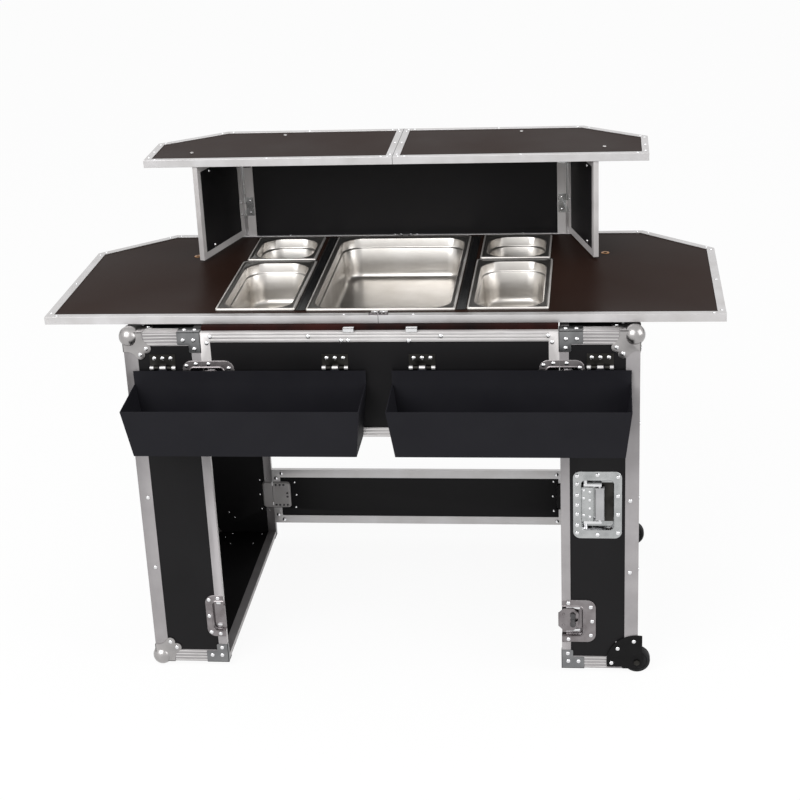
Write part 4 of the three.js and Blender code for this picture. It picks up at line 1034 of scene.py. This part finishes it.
for name in ("counter", "shelf"):
    low, high = boxOf(f"right_{name}_edging")
    stampPiece(f"{name}_edging_rivets", "chrome", [
        (smallRivetShape, faceAt(side * x, y, high.z, "top"))
        for x, y in topRivetSpots(low, high, topRivets[name]) for side in (-1, 1)])

shelfTop = boxOf("right_shelf_board")[1].z
stampPiece("shelf_bolts", "nickel", [(boltShape, faceAt(side * x, y + legsMiddle, shelfTop, "top"))
                                     for x, y in topFittings["bolts"] for side in (-1, 1)])
insertShape = shapeOf(spunIn, topFittings["insertProfile"], steps=20, closed=True)
x, y = topFittings["insert"]
stampPiece("counter_inserts", "brass", [(insertShape, faceAt(side * x, y + legsMiddle, boardTop, "top"))
                                        for side in (-1, 1)])
low, high = boxOf("counter_seam_hinge")
softCopy("counter_seam_hinge", "latchPlate", topFittings["hingeEdge"], [
    (smallRivetShape, faceAt(x, (low.y + high.y) / 2, low.z + topFittings["hingeLeaf"], "top"))
    for inset in topFittings["hingeRivets"] for x in (low.x + inset, high.x - inset)])

# the fine dark joint where the two halves of the counter and of the shelf meet
seam = {"half": 0.5, "proud": 0.12, "frontDepth": 2, "topDepth": 1}
half, proud = seam["half"], seam["proud"]
bm = bmesh.new()
for name in ("counter", "shelf"):
    low, high = boxOf(f"right_{name}_edging")
    # on the counter the joint ends at the large pan
    reach, top = high.y if name == "shelf" else iceLow.y, high.z + proud
    blockIn(bm, (-half, low.y - proud, low.z), (half, low.y + seam["frontDepth"], top))
    blockIn(bm, (-half, low.y, high.z - seam["topDepth"]), (half, reach, top))
finishPiece("seam_joint", bm, "panelLaminate")
print("counter and shelf fittings done")

# Riser hinges, their rivets, the bolts in the side panels and the strips on the rear corners
riser = {"splay": 16.5, "wingOffset": 3.6, "pin": 3, "hingeEdge": 0.3,
         "leafSheet": 1.2, "leafEnd": 4, "leafHeight": 46, "leafInset": 9, "leafReach": 11,
         "leafRivets": (8, 38),
         "boltReach": 154, "boltSink": 1.8, "boltHeights": (878, 1059),
         "stripInside": 12, "stripOutside": 19, "stripSheet": 1.5, "stripEdge": 0.4}
backLow, backHigh = boxOf("riser_back_edging")
for name, side in sides:
    low, high = boxOf(f"{name}_riser_hinge")
    softCopy(f"{name}_riser_hinge", "handleSteel", riser["hingeEdge"])
    leaves = (low.z + riser["leafEnd"], high.z - riser["leafEnd"] - riser["leafHeight"])
    heights = [leaf + rise for leaf in leaves for rise in riser["leafRivets"]]
    leafX, leafY = side * (backHigh.x - riser["leafInset"]), backLow.y - riser["leafSheet"]
    stampPiece(f"{name}_riser_hinge_rivets", "chrome", [
        (smallRivetShape, faceAt(leafX, leafY, z, "front")) for z in heights])
    pinPlace = Matrix.Translation((side * (backHigh.x + riser["pin"]), backLow.y - riser["pin"], 0))
    wingFrame = pinPlace @ Matrix.Rotation(side * math.radians(riser["splay"]), 4, "Z")
    inner = wingFrame @ frameAt((side * riser["wingOffset"], 0, 0), (0, -1, 0), (0, 0, 1), (-side, 0, 0))
    reach = riser["wingOffset"] + riser["leafReach"]
    wingRivets = [(smallRivetShape, shift(inner, reach, z, riser["leafSheet"])) for z in heights]
    wingRivets += [(rivetShape, shift(inner, riser["boltReach"], z, -riser["boltSink"]))
                   for z in riser["boltHeights"]]
    stampPiece(f"{name}_wing_rivets", "chrome", wingRivets, f"{name}_wing")
bm = bmesh.new()
for side in (-1, 1):
    x0, x1 = sorted((side * (backHigh.x - riser["stripInside"]), side * (backHigh.x + riser["stripOutside"])))
    blockIn(bm, (x0, backHigh.y - plateSink, backLow.z), (x1, backHigh.y + riser["stripSheet"], backHigh.z),
            riser["stripEdge"])
finishPiece("riser_corner_strips", bm, "edging")
print("riser done")

# Bottle bins and their hinges
binHinge = {"rivets": (-18, 0, 18), "rivetDrop": 9, "edge": 0.35, "binEdge": 0.7, "pin": 4, "sleeveIn": 4.3,
            "sleeveProfile": ((3.5, -4), (4.5, -4), (4.5, 4), (3.5, 4)), "lugStretch": 1.6}
sleeve = shapeOf(spunIn, binHinge["sleeveProfile"], axis=(1, 0, 0), across=(0, 0, 1), steps=20, closed=True)
for name in ("left", "right"):
    softCopy(f"{name}_bottle_bin", "binCoat", binHinge["binEdge"])
    for end in ("outer", "inner"):
        node = f"{name}_bin_{end}_hinge"
        softCopy(node, "hingeDark", binHinge["edge"])
        low, high = boxOf(node)
        middleX, rivetZ = (low.x + high.x) / 2, high.z - binHinge["rivetDrop"]
        stampPiece(node + "_rivets", "chrome", [
            (rivetShape, faceAt(middleX + x, front, rivetZ, "front")) for x in binHinge["rivets"]])
        pinY, pinZ = low.y + binHinge["pin"], low.z + binHinge["pin"]
        stampPiece(node + "_sleeves", "edging", [
            (sleeve, Matrix.Translation((x, pinY, pinZ)))
            for x in (low.x + binHinge["sleeveIn"], high.x - binHinge["sleeveIn"])])
        lug = Matrix.Translation((middleX, pinY, pinZ)) @ Matrix.Diagonal((binHinge["lugStretch"], 1, 1, 1))
        stampPiece(node + "_lug_sleeve", "edging", [(sleeve, lug)], f"{name}_bin")
print("bins done")
